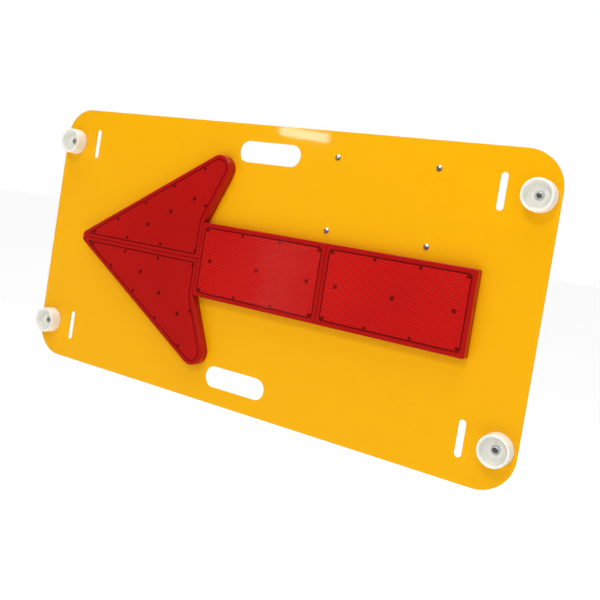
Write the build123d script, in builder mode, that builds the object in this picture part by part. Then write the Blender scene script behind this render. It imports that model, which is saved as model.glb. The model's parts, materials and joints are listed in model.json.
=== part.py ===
from build123d import *
from math import cos, radians, sin, sqrt, tan
import os

# Portable LED arrow board.
# X runs along the board, Z up, and the board faces -Y. The origin is the centre of the
# board's back face. "Forward" means towards -Y: front(d) is the plane d mm in front of that
# back face, and its sketches use (x, z). All sizes are in millimetres.

# ---------------------------------------------------------------- driving dimensions
# board
board_w = 1200.0
board_h = 600.0
board_t = 3.0
board_corner_r = 70.0
hand_slot_w = 152.0
hand_slot_h = 45.0
hand_slot_edge = 58.0        # slot centre to the board's long edge
strap_slot_w = 14.0
strap_slot_h = 68.0
strap_slot_edge_x = 103.6    # slot centre to the board's short edge
strap_slot_edge_z = 79.5     # slot centre to the board's long edge

# stacking bumpers
bumper_r = 29.5
bumper_h = 27.5
bumper_wall = 4.5
bumper_floor = 8.0
bumper_rim_r = 2.0
bumper_seat_r = 12.0         # raised seat in the floor that the washer lies on
bumper_seat_h = 0.8
bumper_edge_x = 35.8         # bumper centre to the board's short edge
bumper_edge_z = 80.0         # bumper centre to the board's long edge

# arrow
arrow_point_x = -496.0       # sharp point of the arrow before it is rounded
arrow_half_angle = 31.0
arrow_point_r = 16.0
head_back_x = -128.0         # back edge of the head, where the shaft begins
wing_x = -44.0               # sharp tip of a wing before it is rounded
wing_r = 30.0
notch_r = 5.0
shaft_h = 160.0
module_w = 307.0             # length of one shaft lens
module_corner_r = 4.0
field_corner_r = 8.0         # corners of the fluted field
least_corner_r = 1.0
seam_gap = 0.6               # gap between neighbouring lenses

# lenses
lens_h = 20.0
lens_wall = 2.6
lens_skin = 2.6
lens_edge_r = 2.0
border_w = 9.0               # smooth band round the fluted field
groove_w = 1.6
groove_d = 0.8
post_r = 4.0
post_pilot_r = 1.4
post_pilot_d = 10.0
post_edge = 15.0             # screw post centre to the lens edge
lead_window_w = 10.0
lead_window_h = 3.5

# trays, seals and light boards
tray_fit = 0.3               # clearance between a tray and its lens wall
tray_t = 2.5
tray_screw_r = 2.2
seal_t = 1.0
seal_w = 6.0
standoff_h = 4.0
standoff_r = 3.5
standoff_pilot_r = 1.1
led_board_t = 1.6
led_board_inset = 24.0
led_board_post_r = 5.0
led_pitch = 30.0
led_r = 2.5
led_h = 5.0
led_edge = 7.0               # lamp centre to the light board's edge
connector_w = 8.0
connector_h = 5.0
connector_d = 6.0

# fasteners
m6_r = 3.0
m6_hole_r = 3.3
m6_head_r = 6.2
m6_pan_h = 3.3
m6_button_h = 3.2
m6_nut_af = 10.0
m6_nut_h = 6.0
m6_bore_play = 0.05          # radial play of a nut or washer on its screw
m6_tail = 2.0                # screw showing past its nut
bumper_washer_r = 9.0
box_washer_r = 7.5
washer_t = 1.2
tapping_r = 1.35
tapping_head_r = 3.6
tapping_head_h = 2.4
tapping_hole_r = 1.8
tapping_reach = 8.0          # length of screw inside its post
small_screw_r = 1.05
small_head_r = 2.4
small_head_h = 1.6
small_hole_r = 1.3
drive_slot_d = 1.4
drive_slot_w = 0.9

# control box
box_w = 240.0
box_h = 175.0
box_d = 76.0
box_wall = 3.0
box_corner_r = 8.0
box_inner_r = 5.0
box_x = 267.7
box_z = 176.1
box_screw_x = 212.7          # spacing of the four mounting screws
box_screw_z = 145.3
lid_t = 4.0
lid_edge_r = 1.5
lid_boss_r = 5.5
lid_boss_z = 45.0            # lid boss above and below the box centre
lid_boss_pilot_r = 1.6
lid_boss_pilot_d = 12.0
lid_screw_r = 1.55
lid_screw_head_r = 3.4
lid_screw_head_h = 2.0
lid_screw_hole_r = 1.9
lid_seal_w = 1.6
lid_seal_t = 1.4

# battery and its bracket
battery_w = 151.0
battery_h = 94.0
battery_d = 65.0
battery_edge_r = 2.0
battery_top_gap = 7.5        # battery top to the box's inner top wall
terminal_x = 55.0
terminal_w = 6.3
terminal_t = 0.8
terminal_h = 6.0
shelf_t = 3.0
shelf_d = 60.0
bracket_t = 1.5
bracket_w = 20.0
bracket_fit = 0.4
bracket_foot = 17.0
bracket_boss_h = 6.0
bracket_boss_r = 4.5
bracket_screw_r = 1.9
bracket_screw_hole_r = 2.2
bracket_screw_head_r = 3.8
bracket_screw_head_h = 2.6
bracket_pilot_r = 1.95
bracket_z_up = 12.0          # bracket centre above the battery centre

# control board
circuit_w = 150.0
circuit_h = 36.0
circuit_t = 1.6
circuit_gap = 5.0            # circuit board top to the battery shelf
circuit_boss_h = 6.0
circuit_boss_r = 3.5
circuit_screw_in = 5.0       # board screw to the board's edge

# controls in the box's end wall, measured from the box centre height
controls_y = 40.0
rocker_up = 22.0
button_up = -2.0
socket_up = -24.0
control_fit = 0.15           # clearance of a housing in its wall opening

switch_cut_h = 19.0
switch_cut_w = 13.0
switch_bezel = 1.0           # bezel overlap round the opening
switch_bezel_t = 1.8
switch_depth = 18.0
switch_wall = 1.4
switch_pocket_d = 9.0
rocker_fit = 0.35            # gap between the rocker and its pocket
rocker_end_play = 0.6        # more room at the ends, which swing
rocker_in = 2.2              # rocker axle behind the outside of the wall
rocker_axle_r = 1.0
rocker_axle_play = 0.06
rocker_tilt = 9.0            # either side of level
rocker_rise = 3.4            # rocker face above its axle at the ends
rocker_dip = 1.6             # how far the face dips at the middle
rocker_tail = 2.2            # rocker below its axle

button_body_r = 6.0
button_flange_r = 8.0
button_flange_t = 2.0
button_depth = 16.0
button_bore_r = 4.3
button_bore_d = 9.0
button_r = 4.0
button_proud = 2.2
button_len = 7.0
button_nut_r = 8.5
button_nut_t = 2.5

socket_body_r = 6.0
socket_flange_r = 8.0
socket_flange_t = 2.0
socket_depth = 16.0
socket_bore_r = 2.8
socket_bore_d = 9.5
socket_pin_r = 1.05
socket_pin_in = 3.0          # pin tip behind the outside of the wall
socket_nut_r = 8.5
socket_nut_t = 2.5
cap_gap = 0.3
cap_t = 2.0
cap_r = 8.0
cap_plug_r = 2.2
cap_plug_d = 1.5
hinge_up = 10.2              # cap hinge above the socket centre
hinge_out = 3.4              # cap hinge outside the box wall
hinge_r = 1.0
hinge_play = 0.06
hinge_lug_r = 2.2
hinge_lug_w = 2.4
hinge_half_w = 6.0

# cable inlet and grommet
gland_x = -60.0              # from the box centre
gland_y = 30.0
gland_thread_r = 8.0
gland_bore_r = 5.2
gland_hex_af = 22.0
gland_hex_h = 5.0
gland_out = 9.0              # thread outside the hexagon
gland_in = 9.0               # thread inside the box
gland_lock_af = 22.0
gland_lock_h = 4.0
gland_dome_af = 21.0
gland_dome_h = 14.0
gland_seal_bore_r = 3.2
gland_play = 0.05
grommet_x = 222.0
grommet_z = 50.0
grommet_bore_r = 3.0
grommet_groove_r = 5.0
grommet_flange_r = 7.5
grommet_back_t = 1.5

# ---------------------------------------------------------------- derived places
lens_front = board_t + lens_h
tray_back = board_t + seal_t
tray_front = tray_back + tray_t
led_board_back = tray_front + standoff_h
led_board_front = led_board_back + led_board_t
lens_inside = lens_front - lens_skin
half_shaft = shaft_h / 2
mid_x = head_back_x + module_w
wing_z = (wing_x - arrow_point_x) * tan(radians(arrow_half_angle))
inner_x = head_back_x + module_w / 2
outer_x = mid_x + module_w / 2

board_half_w = board_w / 2
board_half_h = board_h / 2
strap_slots = [
    (sx * (board_half_w - strap_slot_edge_x), sz * (board_half_h - strap_slot_edge_z))
    for sx in (-1, 1)
    for sz in (-1, 1)
]
bumpers = {
    "upper_left": (-(board_half_w - bumper_edge_x), board_half_h - bumper_edge_z),
    "upper_right": (board_half_w - bumper_edge_x, board_half_h - bumper_edge_z),
    "lower_left": (-(board_half_w - bumper_edge_x), -(board_half_h - bumper_edge_z)),
    "lower_right": (board_half_w - bumper_edge_x, -(board_half_h - bumper_edge_z)),
}
box_screws = [
    (box_x + sx * box_screw_x / 2, box_z + sz * box_screw_z / 2)
    for sx in (-1, 1)
    for sz in (-1, 1)
]
box_end = box_x + box_w / 2
box_bottom = box_z - box_h / 2
box_inner_top = box_z + box_h / 2 - box_wall
battery_top = box_inner_top - battery_top_gap
battery_z = battery_top - battery_h / 2
battery_bottom = battery_top - battery_h
circuit_z = battery_bottom - shelf_t - circuit_gap - circuit_h / 2

os.makedirs("parts", exist_ok=True)


def front(distance):
    """Sketch plane parallel to the board, this far in front of its back face."""
    return Plane.XZ.offset(distance)


def back(distance):
    """Sketch plane parallel to the board, this far behind its back face."""
    return Plane.XZ.offset(-distance)


def save(piece, name):
    """Label one finished piece and write it as its own file."""
    piece.part.label = name
    export_step(piece.part, f"parts/{name}.step")


# ---------------------------------------------------------------- arrow layout
# An outward-edge place is a distance along an edge of the head from a corner, and a distance
# in from that edge.
edge_dir = Vector(cos(radians(arrow_half_angle)), sin(radians(arrow_half_angle)))
edge_in = Vector(edge_dir.Y, -edge_dir.X)
point_corner = Vector(arrow_point_x, 0)
wing_corner = Vector(wing_x, wing_z)
notch_corner = Vector(head_back_x, half_shaft)
flank_dir = (wing_corner - notch_corner).normalized()
flank_in = Vector(-flank_dir.Y, flank_dir.X)


def from_edge(along, inwards):
    """Place measured along the head's long edge from the arrow point, and in from it."""
    return point_corner + edge_dir * along + edge_in * inwards


def from_flank(along, inwards):
    """Place measured up the head's inner edge from the notch, and in from it."""
    return notch_corner + flank_dir * along + flank_in * inwards


def head_places(places, side):
    """Turn places on the upper head into (x, z) pairs on the upper or lower one."""
    return [(place.X, side * place.Y) for place in places]


# Screw posts stand one post_edge in from the lens edges; plain posts only hold the skin up.
head_screw_posts = [
    Vector(arrow_point_x + 53, post_edge),
    Vector(arrow_point_x + 156, post_edge + 1),
    Vector(arrow_point_x + 257, post_edge + 1),
    from_edge(131, post_edge + 0.5),
    from_edge(221, post_edge + 1.3),
    from_edge(310, post_edge),
    from_edge(400, post_edge),
    from_flank(31, post_edge),
]
head_plain_posts = [
    Vector(arrow_point_x + 212, 54),
    Vector(arrow_point_x + 274, 91),
    Vector(arrow_point_x + 334, 126),
    Vector(head_back_x - 11, post_edge + 1),
]
head_board_posts = head_plain_posts[:3]
head_board_screws = [
    Vector(arrow_point_x + 111, 31),
    Vector(head_back_x - 35, 36),
    Vector(arrow_point_x + 241, 110),
    Vector(wing_x - 69, 188),
]
head_connector = Vector(arrow_point_x + 306, 44)

shaft_post_x = module_w / 2 - 12.5
shaft_mid_post_x = 46.5
shaft_centre_post_x = 121.0
shaft_post_z = half_shaft - post_edge
shaft_board_half_h = half_shaft - led_board_inset
shaft_board_half_w = module_w / 2 - 13.0
shaft_board_screw_x = shaft_board_half_w - 6.0


def shaft_places(places, centre_x):
    """Move places on a shaft lens from its own centre to its place on the board."""
    return [(centre_x + x, z) for x, z in places]


shaft_screw_posts = [
    (sx * x, sz * shaft_post_z)
    for x in (shaft_post_x, shaft_mid_post_x)
    for sx in (-1, 1)
    for sz in (-1, 1)
]
shaft_plain_posts = [(-shaft_centre_post_x, 0), (0, 0), (shaft_centre_post_x, 0)]
shaft_board_screws = [
    (sx * shaft_board_screw_x, sz * 31) for sx in (-1, 1) for sz in (-1, 1)
]
shaft_connector = (-105, 31)


# ---------------------------------------------------------------- outlines
def meet(start, along, other_start, other_along):
    """Point where two lines in the board's plane cross."""
    apart = other_start - start
    across = along.X * other_along.Y - along.Y * other_along.X
    return start + along * ((apart.X * other_along.Y - apart.Y * other_along.X) / across)


def head_outline(side, inwards):
    """Upper (side 1) or lower (side -1) half of the head, moved inwards by a distance."""
    middle = Vector(0, 0), Vector(1, 0)
    back_edge = Vector(head_back_x - seam_gap / 2 - inwards, 0), Vector(0, 1)
    long_edge = from_edge(0, inwards), edge_dir
    flank = from_flank(0, inwards), flank_dir
    point = meet(*long_edge, *middle)
    wing = meet(*long_edge, *flank)
    notch = meet(*back_edge, *flank)
    with BuildSketch() as outline:
        with BuildLine():
            Polyline(
                (point.X, 0),
                (wing.X, wing.Y),
                (notch.X, notch.Y),
                (notch.X, -notch.Y),
                (wing.X, -wing.Y),
                close=True,
            )
        make_face()
        rounds = [
            ((point.X, 0), arrow_point_r - inwards),
            ((wing.X, wing.Y), wing_r - inwards),
            ((wing.X, -wing.Y), wing_r - inwards),
            ((notch.X, notch.Y), notch_r + inwards),
            ((notch.X, -notch.Y), notch_r + inwards),
        ]
        for corner, radius in rounds:
            if radius > least_corner_r:
                fillet(outline.vertices().sort_by_distance(corner)[0], radius)
        # keep one half, standing off from the seam
        with Locations((arrow_point_x, side * (seam_gap / 2 + inwards))):
            Rectangle(
                2 * (wing_x - arrow_point_x),
                2 * wing_z,
                align=(Align.MIN, Align.MAX if side > 0 else Align.MIN),
                mode=Mode.SUBTRACT,
            )
    return outline.sketch_local


def shaft_outline(centre_x, inwards):
    """One of the two straight lenses of the shaft, moved inwards by a distance."""
    corner_r = field_corner_r if inwards >= border_w else module_corner_r - inwards
    with BuildSketch() as outline:
        with Locations((centre_x, 0)):
            RectangleRounded(
                module_w - seam_gap - 2 * inwards,
                shaft_h - 2 * inwards,
                max(corner_r, least_corner_r),
            )
    return outline.sketch_local


modules = {
    "head_upper": {"side": 1},
    "head_lower": {"side": -1},
    "shaft_inner": {"centre_x": inner_x},
    "shaft_outer": {"centre_x": outer_x},
}
for module in modules.values():
    if "side" in module:
        side = module["side"]
        module["screw_posts"] = head_places(head_screw_posts, side)
        module["plain_posts"] = head_places(head_plain_posts, side)
        module["board_posts"] = head_places(head_board_posts, side)
        module["board_screws"] = head_places(head_board_screws, side)
        module["connector"] = head_places([head_connector], side)[0]
    else:
        centre_x = module["centre_x"]
        module["screw_posts"] = shaft_places(shaft_screw_posts, centre_x)
        module["plain_posts"] = shaft_places(shaft_plain_posts, centre_x)
        module["board_posts"] = module["plain_posts"]
        module["board_screws"] = shaft_places(shaft_board_screws, centre_x)
        module["connector"] = shaft_places([shaft_connector], centre_x)[0]


def module_outline(module, inwards=0):
    """Outline of one lens, moved inwards by a distance."""
    if "side" in module:
        return head_outline(module["side"], inwards)
    return shaft_outline(module["centre_x"], inwards)


# Windows in the touching walls let the lead pass from lens to lens.
lead_windows = [(head_back_x, 40), (head_back_x, -40), (mid_x, 40)]
all_screw_posts = [place for module in modules.values() for place in module["screw_posts"]]


# ---------------------------------------------------------------- board
with BuildPart() as sign_panel:
    with BuildSketch(front(0)):
        RectangleRounded(board_w, board_h, board_corner_r)
        with Locations(
            (0, board_half_h - hand_slot_edge), (0, -(board_half_h - hand_slot_edge))
        ):
            SlotOverall(hand_slot_w, hand_slot_h, mode=Mode.SUBTRACT)
        with Locations(*strap_slots):
            SlotOverall(strap_slot_h, strap_slot_w, rotation=90, mode=Mode.SUBTRACT)
        with Locations(*bumpers.values(), *box_screws):
            Circle(m6_hole_r, mode=Mode.SUBTRACT)
        with Locations(*all_screw_posts):
            Circle(tapping_hole_r, mode=Mode.SUBTRACT)
        with Locations((grommet_x, grommet_z)):
            Circle(grommet_groove_r, mode=Mode.SUBTRACT)
    extrude(amount=board_t)
save(sign_panel, "sign_panel")


# ---------------------------------------------------------------- stacking bumpers
for corner, place in bumpers.items():
    with BuildPart() as bumper:
        with BuildSketch(front(board_t)):
            with Locations(place):
                Circle(bumper_r)
        extrude(amount=bumper_h)
        with BuildSketch(front(board_t + bumper_floor)):
            with Locations(place):
                Circle(bumper_r - bumper_wall)
        extrude(amount=bumper_h - bumper_floor, mode=Mode.SUBTRACT)
        rim = bumper.edges().filter_by(GeomType.CIRCLE).group_by(Axis.Y)[0]
        fillet(rim, bumper_rim_r)
        with BuildSketch(front(board_t + bumper_floor)):
            with Locations(place):
                Circle(bumper_seat_r)
        extrude(amount=bumper_seat_h)
        with BuildSketch(front(board_t)):
            with Locations(place):
                Circle(m6_hole_r)
        extrude(amount=bumper_floor + bumper_seat_h, mode=Mode.SUBTRACT)
    save(bumper, f"bumper_{corner}")

bumper_seat = board_t + bumper_floor + bumper_seat_h
bumper_head = bumper_seat + washer_t
bumper_places = list(bumpers.values())

with BuildPart() as bumper_washers:
    with BuildSketch(front(bumper_seat)):
        with Locations(*bumper_places):
            Circle(bumper_washer_r)
            Circle(m6_r + m6_bore_play, mode=Mode.SUBTRACT)
    extrude(amount=washer_t)
save(bumper_washers, "bumper_washers")

with BuildPart() as bumper_screws:
    with BuildSketch(front(bumper_head)):
        with Locations(*bumper_places):
            Circle(m6_head_r)
    extrude(amount=m6_pan_h)
    heads = bumper_screws.edges().filter_by(GeomType.CIRCLE).group_by(Axis.Y)[0]
    fillet(heads, m6_pan_h * 0.6)
    with BuildSketch(back(m6_nut_h + m6_tail)):
        with Locations(*bumper_places):
            Circle(m6_r)
    extrude(amount=m6_nut_h + m6_tail + bumper_head)
    with BuildSketch(front(bumper_head + m6_pan_h - drive_slot_d)):
        with Locations(*bumper_places):
            Rectangle(m6_head_r, drive_slot_w)
            Rectangle(drive_slot_w, m6_head_r)
    extrude(amount=drive_slot_d, mode=Mode.SUBTRACT)
save(bumper_screws, "bumper_screws")

with BuildPart() as bumper_lock_nuts:
    with BuildSketch(back(m6_nut_h)):
        with Locations(*bumper_places):
            RegularPolygon(m6_nut_af / 2, 6, major_radius=False)
            Circle(m6_r + m6_bore_play, mode=Mode.SUBTRACT)
    extrude(amount=m6_nut_h)
save(bumper_lock_nuts, "bumper_lock_nuts")


# ---------------------------------------------------------------- lenses
for name, module in modules.items():
    with BuildPart() as lens:
        with BuildSketch(front(board_t)):
            add(module_outline(module))
        extrude(amount=lens_h)
        top_edges = lens.faces().sort_by(Axis.Y)[0].edges()
        fillet(top_edges, lens_edge_r)
        with BuildSketch(front(board_t)):
            add(module_outline(module, lens_wall))
        extrude(amount=lens_h - lens_skin, mode=Mode.SUBTRACT)
        with BuildSketch(front(lens_front - groove_d)):
            add(module_outline(module, border_w))
            add(module_outline(module, border_w + groove_w), mode=Mode.SUBTRACT)
        extrude(amount=groove_d, mode=Mode.SUBTRACT)
        with BuildSketch(front(tray_front)):
            with Locations(*module["screw_posts"], *module["plain_posts"]):
                Circle(post_r)
        extrude(amount=lens_inside - tray_front)
        with BuildSketch(front(tray_front)):
            with Locations(*module["screw_posts"]):
                Circle(post_pilot_r)
        extrude(amount=post_pilot_d, mode=Mode.SUBTRACT)
        with BuildSketch(front(tray_front)):
            with Locations(*lead_windows):
                Rectangle(4 * lens_wall, lead_window_w)
        extrude(amount=lead_window_h, mode=Mode.SUBTRACT)
    save(lens, f"lens_{name}")


# ---------------------------------------------------------------- trays and seals
for name, module in modules.items():
    tray_outline = module_outline(module, lens_wall + tray_fit)
    seal_inner = module_outline(module, lens_wall + tray_fit + seal_w)
    with BuildPart() as tray:
        with BuildSketch(front(tray_back)):
            add(tray_outline)
            with Locations(*module["screw_posts"]):
                Circle(tray_screw_r, mode=Mode.SUBTRACT)
        extrude(amount=tray_t)
        with BuildSketch(front(tray_front)):
            with Locations(*module["board_screws"]):
                Circle(standoff_r)
        extrude(amount=standoff_h)
        with BuildSketch(front(tray_front)):
            with Locations(*module["board_screws"]):
                Circle(standoff_pilot_r)
        extrude(amount=standoff_h, mode=Mode.SUBTRACT)
        if name == "shaft_outer":
            with BuildSketch(front(tray_back)):
                with Locations((grommet_x, grommet_z)):
                    Circle(grommet_groove_r)
            extrude(amount=tray_t, mode=Mode.SUBTRACT)
    save(tray, f"base_tray_{name}")

    with BuildPart() as gasket:
        with BuildSketch(front(board_t)):
            add(tray_outline)
            add(seal_inner, mode=Mode.SUBTRACT)
        extrude(amount=seal_t)
    save(gasket, f"gasket_{name}")


# ---------------------------------------------------------------- light boards and lamps
def far_from(place, others, distance):
    """True where a place lies at least this far from every other place."""
    return all(sqrt((place[0] - x) ** 2 + (place[1] - z) ** 2) >= distance for x, z in others)


def light_board_outline(module, inwards=0):
    """Outline of one light board, moved inwards by a distance."""
    if "side" in module:
        return head_outline(module["side"], led_board_inset + inwards)
    with BuildSketch() as outline:
        with Locations((module["centre_x"], 0)):
            Rectangle(2 * (shaft_board_half_w - inwards), 2 * (shaft_board_half_h - inwards))
    return outline.sketch_local


def lamp_places(module):
    """Lamps on an even grid, clear of the board's edge, posts, screws and connector."""
    zone = light_board_outline(module, led_edge).face()
    box = zone.bounding_box()
    count_x = int(box.size.X // led_pitch) + 1
    count_z = int(box.size.Y // led_pitch) + 1
    start_x = box.center().X - (count_x - 1) * led_pitch / 2
    start_z = box.center().Y - (count_z - 1) * led_pitch / 2
    clear_of = module["board_posts"] + module["board_screws"] + [module["connector"]]
    grid = [
        (start_x + i * led_pitch, start_z + j * led_pitch)
        for i in range(count_x)
        for j in range(count_z)
    ]
    return [
        place
        for place in grid
        if zone.is_inside(Vector(place[0], place[1], 0))
        and far_from(place, clear_of, led_board_post_r + led_r + connector_h / 2)
    ]


for name, module in modules.items():
    lamps = lamp_places(module)
    with BuildPart() as led_board:
        with BuildSketch(front(led_board_back)):
            add(light_board_outline(module))
            with Locations(*module["board_posts"]):
                Circle(led_board_post_r, mode=Mode.SUBTRACT)
            with Locations(*module["board_screws"]):
                Circle(small_hole_r, mode=Mode.SUBTRACT)
        extrude(amount=led_board_t)
    save(led_board, f"led_board_{name}")

    with BuildPart() as leds:
        with BuildSketch(front(led_board_front)):
            with Locations(*lamps):
                Circle(led_r)
        extrude(amount=led_h)
        tips = leds.edges().filter_by(GeomType.CIRCLE).group_by(Axis.Y)[0]
        fillet(tips, led_r * 0.8)
    save(leds, f"leds_{name}")

with BuildPart() as led_connectors:
    with BuildSketch(front(led_board_front)):
        with Locations(*[module["connector"] for module in modules.values()]):
            Rectangle(connector_w, connector_h)
    extrude(amount=connector_d)
save(led_connectors, "led_connectors")

all_board_screws = [place for module in modules.values() for place in module["board_screws"]]
with BuildPart() as led_board_screws:
    with BuildSketch(front(tray_front + 0.5)):
        with Locations(*all_board_screws):
            Circle(small_screw_r)
    extrude(amount=led_board_front - tray_front - 0.5)
    with BuildSketch(front(led_board_front)):
        with Locations(*all_board_screws):
            Circle(small_head_r)
    extrude(amount=small_head_h)
save(led_board_screws, "led_board_screws")

with BuildPart() as module_screws:
    with BuildSketch(back(tapping_head_h)):
        with Locations(*all_screw_posts):
            Circle(tapping_head_r)
    extrude(amount=tapping_head_h)
    with BuildSketch(front(0)):
        with Locations(*all_screw_posts):
            Circle(tapping_r)
    extrude(amount=tray_front + tapping_reach)
save(module_screws, "module_screws")

with BuildPart() as panel_grommet:
    with BuildSketch(back(grommet_back_t)):
        with Locations((grommet_x, grommet_z)):
            Circle(grommet_flange_r)
    extrude(amount=grommet_back_t)
    with BuildSketch(front(0)):
        with Locations((grommet_x, grommet_z)):
            Circle(grommet_groove_r)
    extrude(amount=board_t)
    with BuildSketch(front(board_t)):
        with Locations((grommet_x, grommet_z)):
            Circle(grommet_flange_r)
    extrude(amount=seal_t)
    with BuildSketch(back(grommet_back_t)):
        with Locations((grommet_x, grommet_z)):
            Circle(grommet_bore_r)
    extrude(amount=grommet_back_t + board_t + seal_t, mode=Mode.SUBTRACT)
save(panel_grommet, "panel_grommet")


# ---------------------------------------------------------------- control box
lid_bosses = [
    (box_x + sx * (box_w / 2 - box_wall - lid_boss_r), box_z + sz * lid_boss_z)
    for sx in (-1, 1)
    for sz in (-1, 1)
]
bracket_z = battery_z + bracket_z_up
bracket_screw_half = battery_w / 2 + bracket_fit + bracket_t + bracket_foot / 2
bracket_screw_places = [(box_x + side * bracket_screw_half, bracket_z) for side in (-1, 1)]
circuit_screws = [
    (
        box_x + sx * (circuit_w / 2 - circuit_screw_in),
        circuit_z + sz * (circuit_h / 2 - circuit_screw_in),
    )
    for sx in (-1, 1)
    for sz in (-1, 1)
]

# Planes on the box's end wall (facing +X) and bottom wall (facing -Z). On the end wall the
# sketch's x is the model's Y and its y is the model's Z; on the bottom wall they are X and -Y.
end_wall = Plane(origin=(box_end, 0, 0), x_dir=(0, 1, 0), z_dir=(1, 0, 0))
bottom_wall = Plane(origin=(0, 0, box_bottom), x_dir=(1, 0, 0), z_dir=(0, 0, -1))
rocker_at = (controls_y, box_z + rocker_up)
button_at = (controls_y, box_z + button_up)
socket_at = (controls_y, box_z + socket_up)
gland_at = (box_x + gland_x, -gland_y)

with BuildPart() as box_body:
    with BuildSketch(back(0)):
        with Locations((box_x, box_z)):
            RectangleRounded(box_w, box_h, box_corner_r)
    extrude(amount=-box_d)
    with BuildSketch(back(box_wall)):
        with Locations((box_x, box_z)):
            RectangleRounded(box_w - 2 * box_wall, box_h - 2 * box_wall, box_inner_r)
    extrude(amount=-(box_d - box_wall), mode=Mode.SUBTRACT)
    # lid bosses, each joined to its end wall
    with BuildSketch(back(box_wall)):
        for x, z in lid_bosses:
            toward = 1 if x > box_x else -1
            with Locations((x, z)):
                Circle(lid_boss_r)
            with Locations((x + toward * lid_boss_r / 2, z)):
                Rectangle(lid_boss_r + 0.5, 2 * lid_boss_r)
    extrude(amount=-(box_d - box_wall))
    with BuildSketch(back(box_d)):
        with Locations(*lid_bosses):
            Circle(lid_boss_pilot_r)
    extrude(amount=lid_boss_pilot_d, mode=Mode.SUBTRACT)
    # shelf that carries the battery
    with BuildSketch(back(box_wall)):
        with Locations((box_x, battery_bottom - shelf_t / 2)):
            Rectangle(battery_w, shelf_t)
    extrude(amount=-shelf_d)
    # bosses for the bracket and the circuit board
    with BuildSketch(back(box_wall)):
        with Locations(*bracket_screw_places):
            Circle(bracket_boss_r)
            Circle(bracket_pilot_r, mode=Mode.SUBTRACT)
    extrude(amount=-bracket_boss_h)
    with BuildSketch(back(box_wall)):
        with Locations(*circuit_screws):
            Circle(circuit_boss_r)
            Circle(standoff_pilot_r, mode=Mode.SUBTRACT)
    extrude(amount=-circuit_boss_h)
    # screw holes in the floor, and openings for the controls and the cable gland
    with BuildSketch(back(0)):
        with Locations(*box_screws):
            Circle(m6_hole_r)
    extrude(amount=-box_wall, mode=Mode.SUBTRACT)
    with BuildSketch(end_wall):
        with Locations(rocker_at):
            Rectangle(switch_cut_w, switch_cut_h)
        with Locations(button_at):
            Circle(button_body_r + control_fit)
        with Locations(socket_at):
            Circle(socket_body_r + control_fit)
    extrude(amount=-box_wall, mode=Mode.SUBTRACT)
    with BuildSketch(bottom_wall):
        with Locations(gland_at):
            Circle(gland_thread_r + control_fit)
    extrude(amount=-box_wall, mode=Mode.SUBTRACT)
save(box_body, "control_box_body")

seal_half_in = (box_wall - lid_seal_w) / 2
with BuildSketch() as lid_seal_ring:
    with Locations((box_x, box_z)):
        RectangleRounded(
            box_w - 2 * seal_half_in, box_h - 2 * seal_half_in, box_corner_r - seal_half_in
        )
        RectangleRounded(
            box_w - 2 * (seal_half_in + lid_seal_w),
            box_h - 2 * (seal_half_in + lid_seal_w),
            box_corner_r - seal_half_in - lid_seal_w,
            mode=Mode.SUBTRACT,
        )

with BuildPart() as box_lid:
    with BuildSketch(back(box_d)):
        with Locations((box_x, box_z)):
            RectangleRounded(box_w, box_h, box_corner_r)
        with Locations(*lid_bosses):
            Circle(lid_screw_hole_r, mode=Mode.SUBTRACT)
    extrude(amount=-lid_t)
    lid_rim = box_lid.faces().sort_by(Axis.Y)[-1].outer_wire().edges()
    fillet(lid_rim, lid_edge_r)
    with BuildSketch(back(box_d)):
        add(lid_seal_ring.sketch_local)
    extrude(amount=-lid_seal_t, mode=Mode.SUBTRACT)
save(box_lid, "control_box_lid")

with BuildPart() as lid_seal:
    with BuildSketch(back(box_d)):
        add(lid_seal_ring.sketch_local)
    extrude(amount=-lid_seal_t)
save(lid_seal, "lid_seal")

with BuildPart() as lid_screws:
    with BuildSketch(back(box_d + lid_t)):
        with Locations(*lid_bosses):
            Circle(lid_screw_head_r)
    extrude(amount=-lid_screw_head_h)
    lid_heads = lid_screws.edges().filter_by(GeomType.CIRCLE).group_by(Axis.Y)[-1]
    fillet(lid_heads, lid_screw_head_h * 0.5)
    with BuildSketch(back(box_d + lid_t)):
        with Locations(*lid_bosses):
            Circle(lid_screw_r)
    extrude(amount=lid_t + lid_boss_pilot_d - 1)
    with BuildSketch(back(box_d + lid_t + lid_screw_head_h)):
        with Locations(*lid_bosses):
            Rectangle(lid_screw_head_r, drive_slot_w)
            Rectangle(drive_slot_w, lid_screw_head_r)
    extrude(amount=drive_slot_d * 0.7, mode=Mode.SUBTRACT)
save(lid_screws, "lid_screws")

# four domed screws clamp the box to the back of the board
with BuildPart() as box_mount_screws:
    with BuildSketch(front(board_t)):
        with Locations(*box_screws):
            Circle(m6_head_r)
    extrude(amount=m6_button_h)
    domes = box_mount_screws.edges().filter_by(GeomType.CIRCLE).group_by(Axis.Y)[0]
    fillet(domes, m6_button_h * 0.9)
    with BuildSketch(back(box_wall + washer_t + m6_nut_h + m6_tail)):
        with Locations(*box_screws):
            Circle(m6_r)
    extrude(amount=box_wall + washer_t + m6_nut_h + m6_tail + board_t)
save(box_mount_screws, "box_mount_screws")

with BuildPart() as box_mount_washers:
    with BuildSketch(back(box_wall)):
        with Locations(*box_screws):
            Circle(box_washer_r)
            Circle(m6_r + m6_bore_play, mode=Mode.SUBTRACT)
    extrude(amount=-washer_t)
save(box_mount_washers, "box_mount_washers")

with BuildPart() as box_mount_nuts:
    with BuildSketch(back(box_wall + washer_t)):
        with Locations(*box_screws):
            RegularPolygon(m6_nut_af / 2, 6, major_radius=False)
            Circle(m6_r + m6_bore_play, mode=Mode.SUBTRACT)
    extrude(amount=-m6_nut_h)
save(box_mount_nuts, "box_mount_nuts")


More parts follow.
